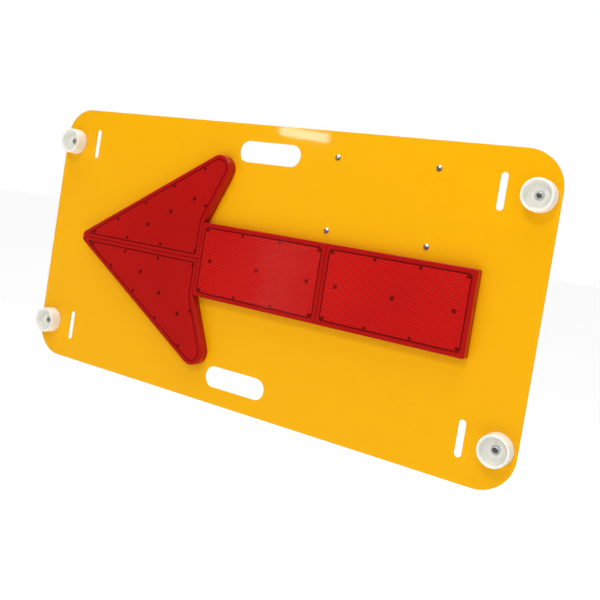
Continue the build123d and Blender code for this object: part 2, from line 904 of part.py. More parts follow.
# ---------------------------------------------------------------- battery
with BuildPart() as battery:
    with BuildSketch(back(box_wall)):
        with Locations((box_x, battery_z)):
            Rectangle(battery_w, battery_h)
    extrude(amount=-battery_d)
    fillet(battery.edges().filter_by(Axis.Y), battery_edge_r)
save(battery, "battery")

terminal_plane = Plane.XY.offset(battery_top)
with BuildPart() as battery_terminals:
    with BuildSketch(terminal_plane):
        with Locations(
            (box_x - terminal_x, box_wall + battery_d / 2),
            (box_x + terminal_x, box_wall + battery_d / 2),
        ):
            Rectangle(terminal_w, terminal_t)
    extrude(amount=terminal_h)
save(battery_terminals, "battery_terminals")

strap_inner = battery_w / 2 + bracket_fit
strap_outer = strap_inner + bracket_t
strap_low = box_wall + bracket_boss_h
strap_high = box_wall + battery_d
with BuildPart() as battery_bracket:
    with BuildSketch(Plane.XY.offset(bracket_z - bracket_w / 2)):
        for side in (-1, 1):
            with Locations((box_x + side * (strap_outer + bracket_foot / 2), strap_low)):
                Rectangle(bracket_foot, bracket_t, align=(Align.CENTER, Align.MIN))
            with Locations((box_x + side * (strap_inner + bracket_t / 2), strap_low)):
                Rectangle(
                    bracket_t, strap_high + bracket_t - strap_low, align=(Align.CENTER, Align.MIN)
                )
        with Locations((box_x, strap_high)):
            Rectangle(2 * strap_outer, bracket_t, align=(Align.CENTER, Align.MIN))
    extrude(amount=bracket_w)
    with BuildSketch(back(strap_low)):
        with Locations(*bracket_screw_places):
            Circle(bracket_screw_hole_r)
    extrude(amount=-bracket_t, mode=Mode.SUBTRACT)
save(battery_bracket, "battery_bracket")

with BuildPart() as bracket_screws:
    with BuildSketch(back(strap_low + bracket_t)):
        with Locations(*bracket_screw_places):
            Circle(bracket_screw_head_r)
    extrude(amount=-bracket_screw_head_h)
    with BuildSketch(back(strap_low + bracket_t)):
        with Locations(*bracket_screw_places):
            Circle(bracket_screw_r)
    extrude(amount=bracket_t + bracket_boss_h - 0.5)
save(bracket_screws, "bracket_screws")


# ---------------------------------------------------------------- control board
circuit_back = box_wall + circuit_boss_h
circuit_front = circuit_back + circuit_t
with BuildPart() as control_board:
    with BuildSketch(back(circuit_back)):
        with Locations((box_x, circuit_z)):
            Rectangle(circuit_w, circuit_h)
        with Locations(*circuit_screws):
            Circle(small_hole_r, mode=Mode.SUBTRACT)
    extrude(amount=-circuit_t)
save(control_board, "control_board")

with BuildPart() as control_board_screws:
    with BuildSketch(back(circuit_front)):
        with Locations(*circuit_screws):
            Circle(small_head_r)
    extrude(amount=-small_head_h)
    with BuildSketch(back(circuit_front)):
        with Locations(*circuit_screws):
            Circle(small_screw_r)
    extrude(amount=circuit_t + circuit_boss_h - 0.5)
save(control_board_screws, "control_board_screws")

# parts on the board: (x from the board's centre, z from it, width, height, depth)
driver_blocks = [
    (-52.0, 6.0, 24.0, 9.0, 10.0),
    (-20.0, -4.0, 19.0, 15.0, 15.0),
    (8.0, 8.0, 10.0, 4.5, 15.0),
    (8.0, -1.0, 10.0, 4.5, 15.0),
    (8.0, -10.0, 10.0, 4.5, 15.0),
    (26.0, -6.0, 8.0, 8.0, 2.5),
]
capacitor_at = (-38.0, -9.0)
capacitor_r = 4.0
capacitor_h = 12.0
with BuildPart() as control_components:
    for x, z, width, height, depth in driver_blocks:
        with BuildSketch(back(circuit_front)):
            with Locations((box_x + x, circuit_z + z)):
                Rectangle(width, height)
        extrude(amount=-depth)
    with BuildSketch(back(circuit_front)):
        with Locations((box_x + capacitor_at[0], circuit_z + capacitor_at[1])):
            Circle(capacitor_r)
    extrude(amount=-capacitor_h)
save(control_components, "control_components")

fuse_at = (box_x + 48.0, circuit_z + 3.0)
fuse_holder_w = 22.0
fuse_holder_h = 8.0
fuse_holder_d = 10.0
fuse_w = 19.0
fuse_t = 5.0
fuse_d = 14.0
fuse_seat = 4.0
with BuildPart() as fuse_holder:
    with BuildSketch(back(circuit_front)):
        with Locations(fuse_at):
            Rectangle(fuse_holder_w, fuse_holder_h)
    extrude(amount=-fuse_holder_d)
    with BuildSketch(back(circuit_front + fuse_seat)):
        with Locations(fuse_at):
            Rectangle(fuse_w + 0.4, fuse_t + 0.4)
    extrude(amount=-fuse_holder_d, mode=Mode.SUBTRACT)
save(fuse_holder, "fuse_holder")

with BuildPart() as fuse:
    with BuildSketch(back(circuit_front + fuse_seat)):
        with Locations(fuse_at):
            Rectangle(fuse_w, fuse_t)
    extrude(amount=-fuse_d)
save(fuse, "fuse")


# ---------------------------------------------------------------- power switch
def wall_plane(outwards):
    """Plane parallel to the box's end wall, this far outside it."""
    return end_wall.offset(outwards)


with BuildPart() as power_switch_housing:
    with BuildSketch(wall_plane(0)):
        with Locations(rocker_at):
            Rectangle(switch_cut_w + 2 * switch_bezel, switch_cut_h + 2 * switch_bezel)
    extrude(amount=switch_bezel_t)
    with BuildSketch(wall_plane(0)):
        with Locations(rocker_at):
            Rectangle(switch_cut_w - 2 * control_fit, switch_cut_h - 2 * control_fit)
    extrude(amount=-switch_depth)
    with BuildSketch(wall_plane(switch_bezel_t)):
        with Locations(rocker_at):
            Rectangle(switch_cut_w - 2 * switch_wall, switch_cut_h - 2 * switch_wall)
    extrude(amount=-(switch_pocket_d + switch_bezel_t), mode=Mode.SUBTRACT)
    with BuildSketch(Plane.XZ.offset(-(controls_y - switch_cut_w / 2 + control_fit))):
        with Locations((box_end - rocker_in, rocker_at[1])):
            Circle(rocker_axle_r + rocker_axle_play)
    extrude(amount=-(switch_cut_w - 2 * control_fit), mode=Mode.SUBTRACT)
save(power_switch_housing, "power_switch_housing")

# The rocker's side profile is drawn level, on a plane turned to its off position about the axle.
rocker_half = switch_cut_h / 2 - switch_wall - rocker_fit - rocker_end_play
rocker_width = switch_cut_w - 2 * switch_wall - 2 * rocker_fit
rocker_axle_w = switch_cut_w - 2 * control_fit - 2 * rocker_fit
rocker_mid = Plane(
    origin=(box_end - rocker_in, controls_y, rocker_at[1]),
    x_dir=(cos(radians(rocker_tilt)), 0, sin(radians(rocker_tilt))),
    z_dir=(0, -1, 0),
)
with BuildPart() as power_rocker:
    with BuildSketch(rocker_mid):
        with BuildLine():
            Polyline(
                (-rocker_tail, -rocker_half * 0.7),
                (rocker_rise, -rocker_half),
                (rocker_rise + rocker_dip * 0.3, -rocker_half * 0.9),
                (rocker_rise - rocker_dip, 0),
                (rocker_rise + rocker_dip * 0.3, rocker_half * 0.9),
                (rocker_rise, rocker_half),
                (-rocker_tail, rocker_half * 0.7),
                close=True,
            )
        make_face()
    extrude(amount=rocker_width / 2, both=True)
    with BuildSketch(rocker_mid):
        Circle(rocker_axle_r)
    extrude(amount=rocker_axle_w / 2, both=True)
save(power_rocker, "power_rocker")


# ---------------------------------------------------------------- mode button
with BuildPart() as mode_button_housing:
    with BuildSketch(wall_plane(0)):
        with Locations(button_at):
            Circle(button_flange_r)
    extrude(amount=button_flange_t)
    with BuildSketch(wall_plane(0)):
        with Locations(button_at):
            Circle(button_body_r)
    extrude(amount=-button_depth)
    with BuildSketch(wall_plane(button_flange_t)):
        with Locations(button_at):
            Circle(button_bore_r)
    extrude(amount=-(button_flange_t + button_bore_d), mode=Mode.SUBTRACT)
save(mode_button_housing, "mode_button_housing")

with BuildPart() as mode_button:
    with BuildSketch(wall_plane(button_flange_t + button_proud - button_len)):
        with Locations(button_at):
            Circle(button_r)
    extrude(amount=button_len)
    fillet(mode_button.edges().group_by(Axis.X)[-1], 0.6)
save(mode_button, "mode_button")

with BuildPart() as mode_button_nut:
    with BuildSketch(wall_plane(-box_wall)):
        with Locations(button_at):
            RegularPolygon(button_nut_r, 6, major_radius=False)
            Circle(button_body_r + gland_play, mode=Mode.SUBTRACT)
    extrude(amount=-button_nut_t)
save(mode_button_nut, "mode_button_nut")


# ---------------------------------------------------------------- charge socket and cap
hinge_z = socket_at[1] + hinge_up
hinge_x = box_end + hinge_out
hinge_mid = Plane(origin=(hinge_x, controls_y, hinge_z), x_dir=(1, 0, 0), z_dir=(0, -1, 0))
with BuildPart() as charge_socket:
    with BuildSketch(wall_plane(0)):
        with Locations(socket_at):
            Circle(socket_flange_r)
        with Locations((controls_y, hinge_z - hinge_up / 2 + hinge_lug_r / 2)):
            Rectangle(2 * hinge_half_w, hinge_up)
    extrude(amount=socket_flange_t * 0.6)
    with BuildSketch(wall_plane(0)):
        with Locations(socket_at):
            Circle(socket_flange_r)
    extrude(amount=socket_flange_t)
    with BuildSketch(wall_plane(0)):
        with Locations(socket_at):
            Circle(socket_body_r)
    extrude(amount=-socket_depth)
    with BuildSketch(wall_plane(socket_flange_t)):
        with Locations(socket_at):
            Circle(socket_bore_r)
    extrude(amount=-(socket_flange_t + socket_bore_d), mode=Mode.SUBTRACT)
    with BuildSketch(wall_plane(-socket_bore_d)):
        with Locations(socket_at):
            Circle(socket_pin_r)
    extrude(amount=socket_bore_d - socket_pin_in)
    # hinge pin held between two lugs
    for side in (-1, 1):
        with BuildSketch(hinge_mid.offset(side * (hinge_half_w - hinge_lug_w / 2))):
            Circle(hinge_lug_r)
            with Locations((-hinge_out / 2, 0)):
                Rectangle(hinge_out, 2 * hinge_lug_r)
        extrude(amount=hinge_lug_w / 2, both=True)
    with BuildSketch(hinge_mid):
        Circle(hinge_r)
    extrude(amount=hinge_half_w, both=True)
save(charge_socket, "charge_socket")

cap_back = socket_flange_t + cap_gap
knuckle_half = hinge_half_w - hinge_lug_w - 0.3
with BuildPart() as charge_cap:
    with BuildSketch(wall_plane(cap_back)):
        with Locations(socket_at):
            Circle(cap_r)
    extrude(amount=cap_t)
    with BuildSketch(wall_plane(cap_back)):
        with Locations(socket_at):
            Circle(cap_plug_r)
    extrude(amount=-(cap_plug_d + cap_gap))
    with BuildSketch(hinge_mid):
        Circle(hinge_lug_r)
        with Locations((cap_back + cap_t / 2 - hinge_out, -hinge_up / 4)):
            Rectangle(cap_t, hinge_up / 2)
    extrude(amount=knuckle_half, both=True)
    with BuildSketch(hinge_mid):
        Circle(hinge_r + hinge_play)
    extrude(amount=hinge_half_w, both=True, mode=Mode.SUBTRACT)
save(charge_cap, "charge_cap")

with BuildPart() as charge_socket_nut:
    with BuildSketch(wall_plane(-box_wall)):
        with Locations(socket_at):
            RegularPolygon(socket_nut_r, 6, major_radius=False)
            Circle(socket_body_r + gland_play, mode=Mode.SUBTRACT)
    extrude(amount=-socket_nut_t)
save(charge_socket_nut, "charge_socket_nut")


# ---------------------------------------------------------------- cable gland
def under_box(outwards):
    """Plane parallel to the box's bottom wall, this far below it."""
    return bottom_wall.offset(outwards)


with BuildPart() as gland_body:
    with BuildSketch(under_box(0)):
        with Locations(gland_at):
            RegularPolygon(gland_hex_af / 2, 6, major_radius=False)
    extrude(amount=gland_hex_h)
    with BuildSketch(under_box(-(box_wall + gland_in))):
        with Locations(gland_at):
            Circle(gland_thread_r)
    extrude(amount=box_wall + gland_in + gland_hex_h + gland_out)
    with BuildSketch(under_box(-(box_wall + gland_in))):
        with Locations(gland_at):
            Circle(gland_bore_r)
    extrude(amount=box_wall + gland_in + gland_hex_h + gland_out, mode=Mode.SUBTRACT)
save(gland_body, "gland_body")

with BuildPart() as gland_locknut:
    with BuildSketch(under_box(-box_wall)):
        with Locations(gland_at):
            RegularPolygon(gland_lock_af / 2, 6, major_radius=False)
            Circle(gland_thread_r + gland_play, mode=Mode.SUBTRACT)
    extrude(amount=-gland_lock_h)
save(gland_locknut, "gland_locknut")

with BuildPart() as gland_dome_nut:
    with BuildSketch(under_box(gland_hex_h + 0.5)):
        with Locations(gland_at):
            RegularPolygon(gland_dome_af / 2, 6, major_radius=False)
    extrude(amount=gland_dome_h * 0.6)
    with BuildSketch(under_box(gland_hex_h + 0.5)):
        with Locations(gland_at):
            Circle(gland_dome_af / 2)
    extrude(amount=gland_dome_h)
    fillet(gland_dome_nut.edges().group_by(Axis.Z)[0], 2.0)
    with BuildSketch(under_box(gland_hex_h + 0.5)):
        with Locations(gland_at):
            Circle(gland_thread_r + gland_play)
    extrude(amount=gland_out - 0.5 + 0.3, mode=Mode.SUBTRACT)
    with BuildSketch(under_box(gland_hex_h)):
        with Locations(gland_at):
            Circle(gland_bore_r)
    extrude(amount=gland_dome_h + 2, mode=Mode.SUBTRACT)
save(gland_dome_nut, "gland_dome_nut")

with BuildPart() as gland_seal:
    with BuildSketch(under_box(gland_hex_h + gland_out - 7)):
        with Locations(gland_at):
            Circle(gland_bore_r)
            Circle(gland_seal_bore_r, mode=Mode.SUBTRACT)
    extrude(amount=9)
save(gland_seal, "gland_seal")
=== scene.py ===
import json
import math

import bmesh
import bpy
from mathutils import Matrix, Vector


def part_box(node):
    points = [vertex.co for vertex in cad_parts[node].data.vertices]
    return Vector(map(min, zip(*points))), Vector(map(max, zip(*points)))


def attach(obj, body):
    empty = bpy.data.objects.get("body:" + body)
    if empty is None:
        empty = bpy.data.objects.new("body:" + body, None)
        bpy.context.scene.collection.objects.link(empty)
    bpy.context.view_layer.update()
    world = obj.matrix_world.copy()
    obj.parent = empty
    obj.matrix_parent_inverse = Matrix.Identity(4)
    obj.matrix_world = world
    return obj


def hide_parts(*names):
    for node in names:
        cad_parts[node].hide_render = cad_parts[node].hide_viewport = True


# Portable LED arrow board: the visible pieces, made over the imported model.
# X runs along the board, Z is up, and the board faces -Y. Everything is in metres: sizes typed
# in millimetres go through mm().

bl_info = {
    "name": "Arrow board maker",
    "version": (1, 0, 0),
    "blender": (4, 5, 0),
    "location": "View3D > Sidebar > Arrow board",
    "description": "Makes the lenses, bumpers, fasteners and finishes of an LED arrow board",
    "category": "Object",
}

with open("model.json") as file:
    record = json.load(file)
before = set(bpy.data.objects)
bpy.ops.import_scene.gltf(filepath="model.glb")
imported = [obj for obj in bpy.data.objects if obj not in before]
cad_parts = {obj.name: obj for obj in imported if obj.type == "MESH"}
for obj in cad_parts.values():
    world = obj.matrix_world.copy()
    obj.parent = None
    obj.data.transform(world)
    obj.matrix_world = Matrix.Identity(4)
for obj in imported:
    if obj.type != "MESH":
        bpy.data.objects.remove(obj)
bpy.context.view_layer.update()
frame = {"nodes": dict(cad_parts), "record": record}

BODY = "board"
MODULES = ("head_upper", "head_lower", "shaft_inner", "shaft_outer")
BUMPERS = ("upper_left", "upper_right", "lower_left", "lower_right")


def mm(value):
    """Millimetres to metres."""
    return value * 0.001


FRONT_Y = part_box("sign_panel")[0].y


# ------------------------------------------------------------------ settings
class ArrowBoardShape(bpy.types.PropertyGroup):
    flute_pitch: bpy.props.FloatProperty(
        name="Flute pitch", description="Distance between two ridges of a lens",
        default=mm(3.0), min=mm(1), unit="LENGTH",
    )
    flute_depth: bpy.props.FloatProperty(
        name="Flute depth", description="Height of a ridge above its valley",
        default=mm(0.36), min=0, unit="LENGTH",
    )
    flute_angle: bpy.props.FloatProperty(
        name="Flute angle", description="How far the ridges rise towards the tail of the arrow",
        default=0, subtype="ANGLE",
    )
    border: bpy.props.FloatProperty(
        name="Border", description="Width of the smooth band round a lens",
        default=mm(9.0), min=mm(3), unit="LENGTH",
    )
    lens_edge: bpy.props.FloatProperty(
        name="Lens edge", description="Radius of a lens's outer edge",
        default=mm(2.0), min=mm(0.2), unit="LENGTH",
    )
    bumper_wall: bpy.props.FloatProperty(
        name="Bumper wall", description="Wall of a stacking bumper at its rim",
        default=mm(4.6), min=mm(1), unit="LENGTH",
    )


class ArrowBoardFinish(bpy.types.PropertyGroup):
    board_colour: bpy.props.FloatVectorProperty(
        name="Board", description="Colour of the powder coat", subtype="COLOR",
        default=(0.94, 0.45, 0.0), min=0, max=1,
    )
    lens_colour: bpy.props.FloatVectorProperty(
        name="Lens", description="Mean colour of the lens plastic", subtype="COLOR",
        default=(0.54, 0.006, 0.004), min=0, max=1,
    )
    bumper_colour: bpy.props.FloatVectorProperty(
        name="Bumper", description="Colour of the bumpers", subtype="COLOR",
        default=(0.93, 0.92, 0.85), min=0, max=1,
    )
    box_colour: bpy.props.FloatVectorProperty(
        name="Box", description="Colour of the control box", subtype="COLOR",
        default=(0.33, 0.34, 0.35), min=0, max=1,
    )
    wear: bpy.props.FloatProperty(
        name="Wear", description="How strongly scuffs and dust show",
        default=0.35, min=0, max=1, subtype="FACTOR",
    )


class ArrowBoardStage(bpy.types.PropertyGroup):
    distance: bpy.props.FloatProperty(
        name="Distance", description="Camera to the point it looks at", default=1.5657,
        min=0.1, unit="LENGTH",
    )
    azimuth: bpy.props.FloatProperty(
        name="Azimuth", description="Camera round to the arrow's tail side",
        default=math.radians(31.06), subtype="ANGLE",
    )
    elevation: bpy.props.FloatProperty(
        name="Elevation", description="Camera above the point it looks at",
        default=math.radians(2.59), subtype="ANGLE",
    )
    roll: bpy.props.FloatProperty(
        name="Roll", description="Camera turned about its own axis",
        default=math.radians(-9.08), subtype="ANGLE",
    )
    aim: bpy.props.FloatVectorProperty(
        name="Aim", description="Point that the camera looks at",
        default=(0.1124, -0.003, 0.0403), subtype="TRANSLATION", unit="LENGTH",
    )
    lens: bpy.props.FloatProperty(
        name="Lens", description="Focal length in millimetres", default=46.86, min=10,
    )
    floor_drop: bpy.props.FloatProperty(
        name="Floor", description="Floor below the board's lower edge", default=0.9,
        min=0, unit="LENGTH",
    )


# ------------------------------------------------------------------ node helpers
def add_node(tree, kind, place=(0, 0), **settings):
    """Adds one node and sets its named properties."""
    made = tree.nodes.new(kind)
    made.location = place
    for key, value in settings.items():
        setattr(made, key, value)
    return made


def new_group(name, inputs, outputs):
    """A shader node group with named sockets, and its input and output nodes."""
    tree = bpy.data.node_groups.new(name, "ShaderNodeTree")
    for socket_name, kind, default in inputs:
        socket = tree.interface.new_socket(name=socket_name, in_out="INPUT", socket_type=kind)
        if default is not None:
            socket.default_value = default
    for socket_name, kind in outputs:
        tree.interface.new_socket(name=socket_name, in_out="OUTPUT", socket_type=kind)
    source = add_node(tree, "NodeGroupInput", (-900, 0))
    sink = add_node(tree, "NodeGroupOutput", (700, 0))
    return tree, source, sink


def use_group(tree, group, place=(-500, 0), **values):
    """Places a shader group in a material and sets its inputs (spaces as underscores)."""
    made = add_node(tree, "ShaderNodeGroup", place)
    made.node_tree = group
    for key, value in values.items():
        made.inputs[key.replace("_", " ")].default_value = value
    return made


def scuff_group():
    """Soft scuffs: a mask from 0 to 1 made of broad noise broken up by a finer one."""
    tree, source, sink = new_group(
        "scuffs",
        [("Vector", "NodeSocketVector", None), ("Scale", "NodeSocketFloat", 9.0),
         ("Amount", "NodeSocketFloat", 0.4)],
        [("Mask", "NodeSocketFloat")],
    )
    broad = add_node(tree, "ShaderNodeTexNoise", (-600, 150))
    broad.inputs["Detail"].default_value = 5
    fine = add_node(tree, "ShaderNodeTexNoise", (-600, -150))
    fine.inputs["Detail"].default_value = 3
    finer = add_node(tree, "ShaderNodeMath", (-780, -200), operation="MULTIPLY")
    finer.inputs[1].default_value = 7.3
    both = add_node(tree, "ShaderNodeMath", (-380, 0), operation="MULTIPLY")
    spread = add_node(tree, "ShaderNodeMapRange", (-150, 0))
    spread.inputs["From Min"].default_value = 0.2
    spread.inputs["From Max"].default_value = 0.48
    scaled = add_node(tree, "ShaderNodeMath", (150, 0), operation="MULTIPLY", use_clamp=True)
    link = tree.links.new
    link(source.outputs["Vector"], broad.inputs["Vector"])
    link(source.outputs["Vector"], fine.inputs["Vector"])
    link(source.outputs["Scale"], broad.inputs["Scale"])
    link(source.outputs["Scale"], finer.inputs[0])
    link(finer.outputs[0], fine.inputs["Scale"])
    link(broad.outputs["Fac"], both.inputs[0])
    link(fine.outputs["Fac"], both.inputs[1])
    link(both.outputs[0], spread.inputs["Value"])
    link(spread.outputs["Result"], scaled.inputs[0])
    link(source.outputs["Amount"], scaled.inputs[1])
    link(scaled.outputs[0], sink.inputs["Mask"])
    return tree


def grain_group():
    """Surface height: fine moulded grain over a slower ripple such as orange peel."""
    tree, source, sink = new_group(
        "grain",
        [("Vector", "NodeSocketVector", None), ("Ripple Scale", "NodeSocketFloat", 260.0),
         ("Grain Scale", "NodeSocketFloat", 1400.0), ("Ripple", "NodeSocketFloat", 1.0),
         ("Grain", "NodeSocketFloat", 0.3)],
        [("Height", "NodeSocketFloat")],
    )
    link = tree.links.new
    layers = []
    for row, (scale, weight) in enumerate((("Ripple Scale", "Ripple"), ("Grain Scale", "Grain"))):
        noise = add_node(tree, "ShaderNodeTexNoise", (-500, -220 * row))
        noise.inputs["Detail"].default_value = 2
        weighted = add_node(tree, "ShaderNodeMath", (-250, -220 * row), operation="MULTIPLY")
        link(source.outputs["Vector"], noise.inputs["Vector"])
        link(source.outputs[scale], noise.inputs["Scale"])
        link(noise.outputs["Fac"], weighted.inputs[0])
        link(source.outputs[weight], weighted.inputs[1])
        layers.append(weighted)
    total = add_node(tree, "ShaderNodeMath", (0, 0), operation="ADD")
    link(layers[0].outputs[0], total.inputs[0])
    link(layers[1].outputs[0], total.inputs[1])
    link(total.outputs[0], sink.inputs["Height"])
    return tree


def post_group():
    """A soft round mask about a centre, for the painted shadow of a post standing behind a lens."""
    tree, source, sink = new_group(
        "post_spot",
        [("Vector", "NodeSocketVector", None), ("Centre", "NodeSocketVector", None),
         ("Radius", "NodeSocketFloat", mm(4)), ("Soft", "NodeSocketFloat", mm(3)),
         ("Before", "NodeSocketFloat", 0.0)],
        [("Mask", "NodeSocketFloat")],
    )
    link = tree.links.new
    away = add_node(tree, "ShaderNodeVectorMath", (-600, 0), operation="DISTANCE")
    outer = add_node(tree, "ShaderNodeMath", (-600, -220), operation="ADD")
    spot = add_node(tree, "ShaderNodeMapRange", (-300, 0), interpolation_type="SMOOTHSTEP")
    spot.inputs["To Min"].default_value = 1.0
    spot.inputs["To Max"].default_value = 0.0
    most = add_node(tree, "ShaderNodeMath", (0, 0), operation="MAXIMUM")
    link(source.outputs["Vector"], away.inputs[0])
    link(source.outputs["Centre"], away.inputs[1])
    link(source.outputs["Radius"], outer.inputs[0])
    link(source.outputs["Soft"], outer.inputs[1])
    link(away.outputs["Value"], spot.inputs["Value"])
    link(source.outputs["Radius"], spot.inputs["From Min"])
    link(outer.outputs[0], spot.inputs["From Max"])
    link(spot.outputs["Result"], most.inputs[0])
    link(source.outputs["Before"], most.inputs[1])
    link(most.outputs[0], sink.inputs["Mask"])
    return tree


def flute_group():
    """Painted shade in the valleys between ridges: 1 in a valley, 0 on a ridge, scaled by an
    amount.
    """
    tree, source, sink = new_group(
        "flute_valleys",
        [("Vector", "NodeSocketVector", None), ("Across", "NodeSocketVector", (0, 0, 1)),
         ("Pitch", "NodeSocketFloat", mm(3)), ("Amount", "NodeSocketFloat", 0.5)],
        [("Mask", "NodeSocketFloat")],
    )
    link = tree.links.new
    along = add_node(tree, "ShaderNodeVectorMath", (-700, 0), operation="DOT_PRODUCT")
    turns = add_node(tree, "ShaderNodeMath", (-520, 0), operation="DIVIDE")
    angle = add_node(tree, "ShaderNodeMath", (-340, 0), operation="MULTIPLY")
    angle.inputs[1].default_value = 2 * math.pi
    wave = add_node(tree, "ShaderNodeMath", (-160, 0), operation="COSINE")
    valley = add_node(tree, "ShaderNodeMapRange", (20, 0))
    valley.inputs["From Min"].default_value = 1.0
    valley.inputs["From Max"].default_value = -1.0
    scaled = add_node(tree, "ShaderNodeMath", (240, 0), operation="MULTIPLY")
    link(source.outputs["Vector"], along.inputs[0])
    link(source.outputs["Across"], along.inputs[1])
    link(along.outputs["Value"], turns.inputs[0])
    link(source.outputs["Pitch"], turns.inputs[1])
    link(turns.outputs[0], angle.inputs[0])
    link(angle.outputs[0], wave.inputs[0])
    link(wave.outputs[0], valley.inputs["Value"])
    link(valley.outputs["Result"], scaled.inputs[0])
    link(source.outputs["Amount"], scaled.inputs[1])
    link(scaled.outputs[0], sink.inputs["Mask"])
    return tree


GROUPS = {}


def group(name):
    """One of the shared shader groups, built the first time it is asked for."""
    makers = {
        "scuffs": scuff_group, "grain": grain_group, "post_spot": post_group,
        "flute_valleys": flute_group,
    }
    if name not in GROUPS:
        GROUPS[name] = makers[name]()
    return GROUPS[name]


# ------------------------------------------------------------------ finishes
def new_finish(name, colour, roughness, metallic=0.0, coat=0.0, coat_roughness=0.08,
               specular=0.5, scuff=0.0, scuff_scale=9.0, scuff_colour=None, rougher=0.2,
               ripple_scale=260.0, grain_scale=1400.0, ripple=0.0, grain=0.0, bump=mm(0.05)):
    """A finish in Object coordinates: base colour, gloss, scuffs and a fine surface height."""
    made = bpy.data.materials.new(name)
    made.use_nodes = True
    tree = made.node_tree
    shader = tree.nodes["Principled BSDF"]
    shader.inputs["Base Color"].default_value = (*colour, 1)
    shader.inputs["Roughness"].default_value = roughness
    shader.inputs["Metallic"].default_value = metallic
    shader.inputs["Specular IOR Level"].default_value = specular
    shader.inputs["Coat Weight"].default_value = coat
    shader.inputs["Coat Roughness"].default_value = coat_roughness
    place = add_node(tree, "ShaderNodeTexCoord", (-900, 0)).outputs["Object"]
    link = tree.links.new
    if scuff > 0:
        marks = use_group(tree, group("scuffs"), (-620, 100), Scale=scuff_scale, Amount=scuff)
        link(place, marks.inputs["Vector"])
        mix = add_node(tree, "ShaderNodeMix", (-300, 200), data_type="RGBA")
        mix.inputs["A"].default_value = (*colour, 1)
        marked = scuff_colour or tuple(0.75 * part + 0.1 for part in colour)
        mix.inputs["B"].default_value = (*marked, 1)
        link(marks.outputs["Mask"], mix.inputs["Factor"])
        link(mix.outputs["Result"], shader.inputs["Base Color"])
        duller = add_node(tree, "ShaderNodeMapRange", (-300, -50))
        duller.inputs["To Min"].default_value = roughness
        duller.inputs["To Max"].default_value = min(roughness + rougher, 1)
        link(marks.outputs["Mask"], duller.inputs["Value"])
        link(duller.outputs["Result"], shader.inputs["Roughness"])
    if ripple > 0 or grain > 0:
        height = use_group(
            tree, group("grain"), (-620, -300), Ripple_Scale=ripple_scale,
            Grain_Scale=grain_scale, Ripple=ripple, Grain=grain,
        )
        link(place, height.inputs["Vector"])
        relief = add_node(tree, "ShaderNodeBump", (-300, -300))
        relief.inputs["Distance"].default_value = bump
        relief.inputs["Strength"].default_value = 1.0
        link(height.outputs["Height"], relief.inputs["Height"])
        link(relief.outputs["Normal"], shader.inputs["Normal"])
    return made


def lens_plastic(name, colour):
    """Glossy red lens plastic with a slow moulded ripple."""
    made = new_finish(
        name, colour, 0.16, coat=0.1, coat_roughness=0.05, specular=0.3,
        ripple_scale=120.0, ripple=0.6, grain_scale=900.0, grain=0.1, bump=mm(0.04),
    )
    made.node_tree.nodes["Principled BSDF"].inputs["IOR"].default_value = 1.49
    return made


def post_shadow_mask(tree, place, spots):
    """Chains the painted shadows of all posts into one mask."""
    mask = None
    for number, (centre, radius) in enumerate(spots):
        spot = use_group(
            tree, group("post_spot"), (-1400 + 160 * number, 500),
            Centre=centre, Radius=radius * SPOT_CORE, Soft=radius * SPOT_SOFT,
        )
        tree.links.new(place, spot.inputs["Vector"])
        if mask is not None:
            tree.links.new(mask, spot.inputs["Before"])
        mask = spot.outputs["Mask"]
    return mask


def field_finish(module, spots):
    """Fluted lens plastic: painted shade in the valleys, and painted shadows where posts stand
    behind it.
    """
    shape = bpy.context.scene.arrow_board_shape
    strength = VALLEY_SHADE * FLUTE_STRENGTH[module]
    mean = LENS_TONE[module] / (1 - 0.5 * strength * (1 - PAINTED_VALLEY_TONE))
    colour = tuple(mean * part for part in bpy.context.scene.arrow_board_finish.lens_colour)
    made = lens_plastic(f"red_lens_field_{module}", colour)
    tree = made.node_tree
    link = tree.links.new
    shader = tree.nodes["Principled BSDF"]
    place = next(n for n in tree.nodes if n.type == "TEX_COORD").outputs["Object"]
    cloud = add_node(tree, "ShaderNodeTexNoise", (-700, 700))
    cloud.inputs["Scale"].default_value = 7.0
    cloud.inputs["Detail"].default_value = 2
    link(place, cloud.inputs["Vector"])
    depth = add_node(tree, "ShaderNodeMix", (-450, 700), data_type="RGBA")
    depth.inputs["A"].default_value = (*(CLOUD_DARK * part for part in colour), 1)
    depth.inputs["B"].default_value = (*(min(CLOUD_LIGHT * part, 1) for part in colour), 1)
    link(cloud.outputs["Fac"], depth.inputs["Factor"])
    # painted shade in the valleys between the ridges
    valleys = use_group(
        tree, group("flute_valleys"), (-700, 900), Pitch=shape.flute_pitch,
        Across=flute_across(), Amount=strength,
    )
    link(place, valleys.inputs["Vector"])
    valley_shaded = add_node(tree, "ShaderNodeMix", (-300, 800), data_type="RGBA")
    valley_shaded.inputs["B"].default_value = (*(PAINTED_VALLEY_TONE * part for part in colour), 1)
    link(depth.outputs["Result"], valley_shaded.inputs["A"])
    link(valleys.outputs["Mask"], valley_shaded.inputs["Factor"])
    # painted shadows of the posts behind the lens
    shade = add_node(tree, "ShaderNodeMath", (-450, 450), operation="MULTIPLY")
    shade.inputs[1].default_value = SPOT_SHADE
    link(post_shadow_mask(tree, place, spots), shade.inputs[0])
    darker = add_node(tree, "ShaderNodeMix", (-200, 600), data_type="RGBA")
    darker.inputs["B"].default_value = (*(POST_SHADOW_TONE * part for part in colour), 1)
    link(valley_shaded.outputs["Result"], darker.inputs["A"])
    link(shade.outputs[0], darker.inputs["Factor"])
    link(darker.outputs["Result"], shader.inputs["Base Color"])
    return made


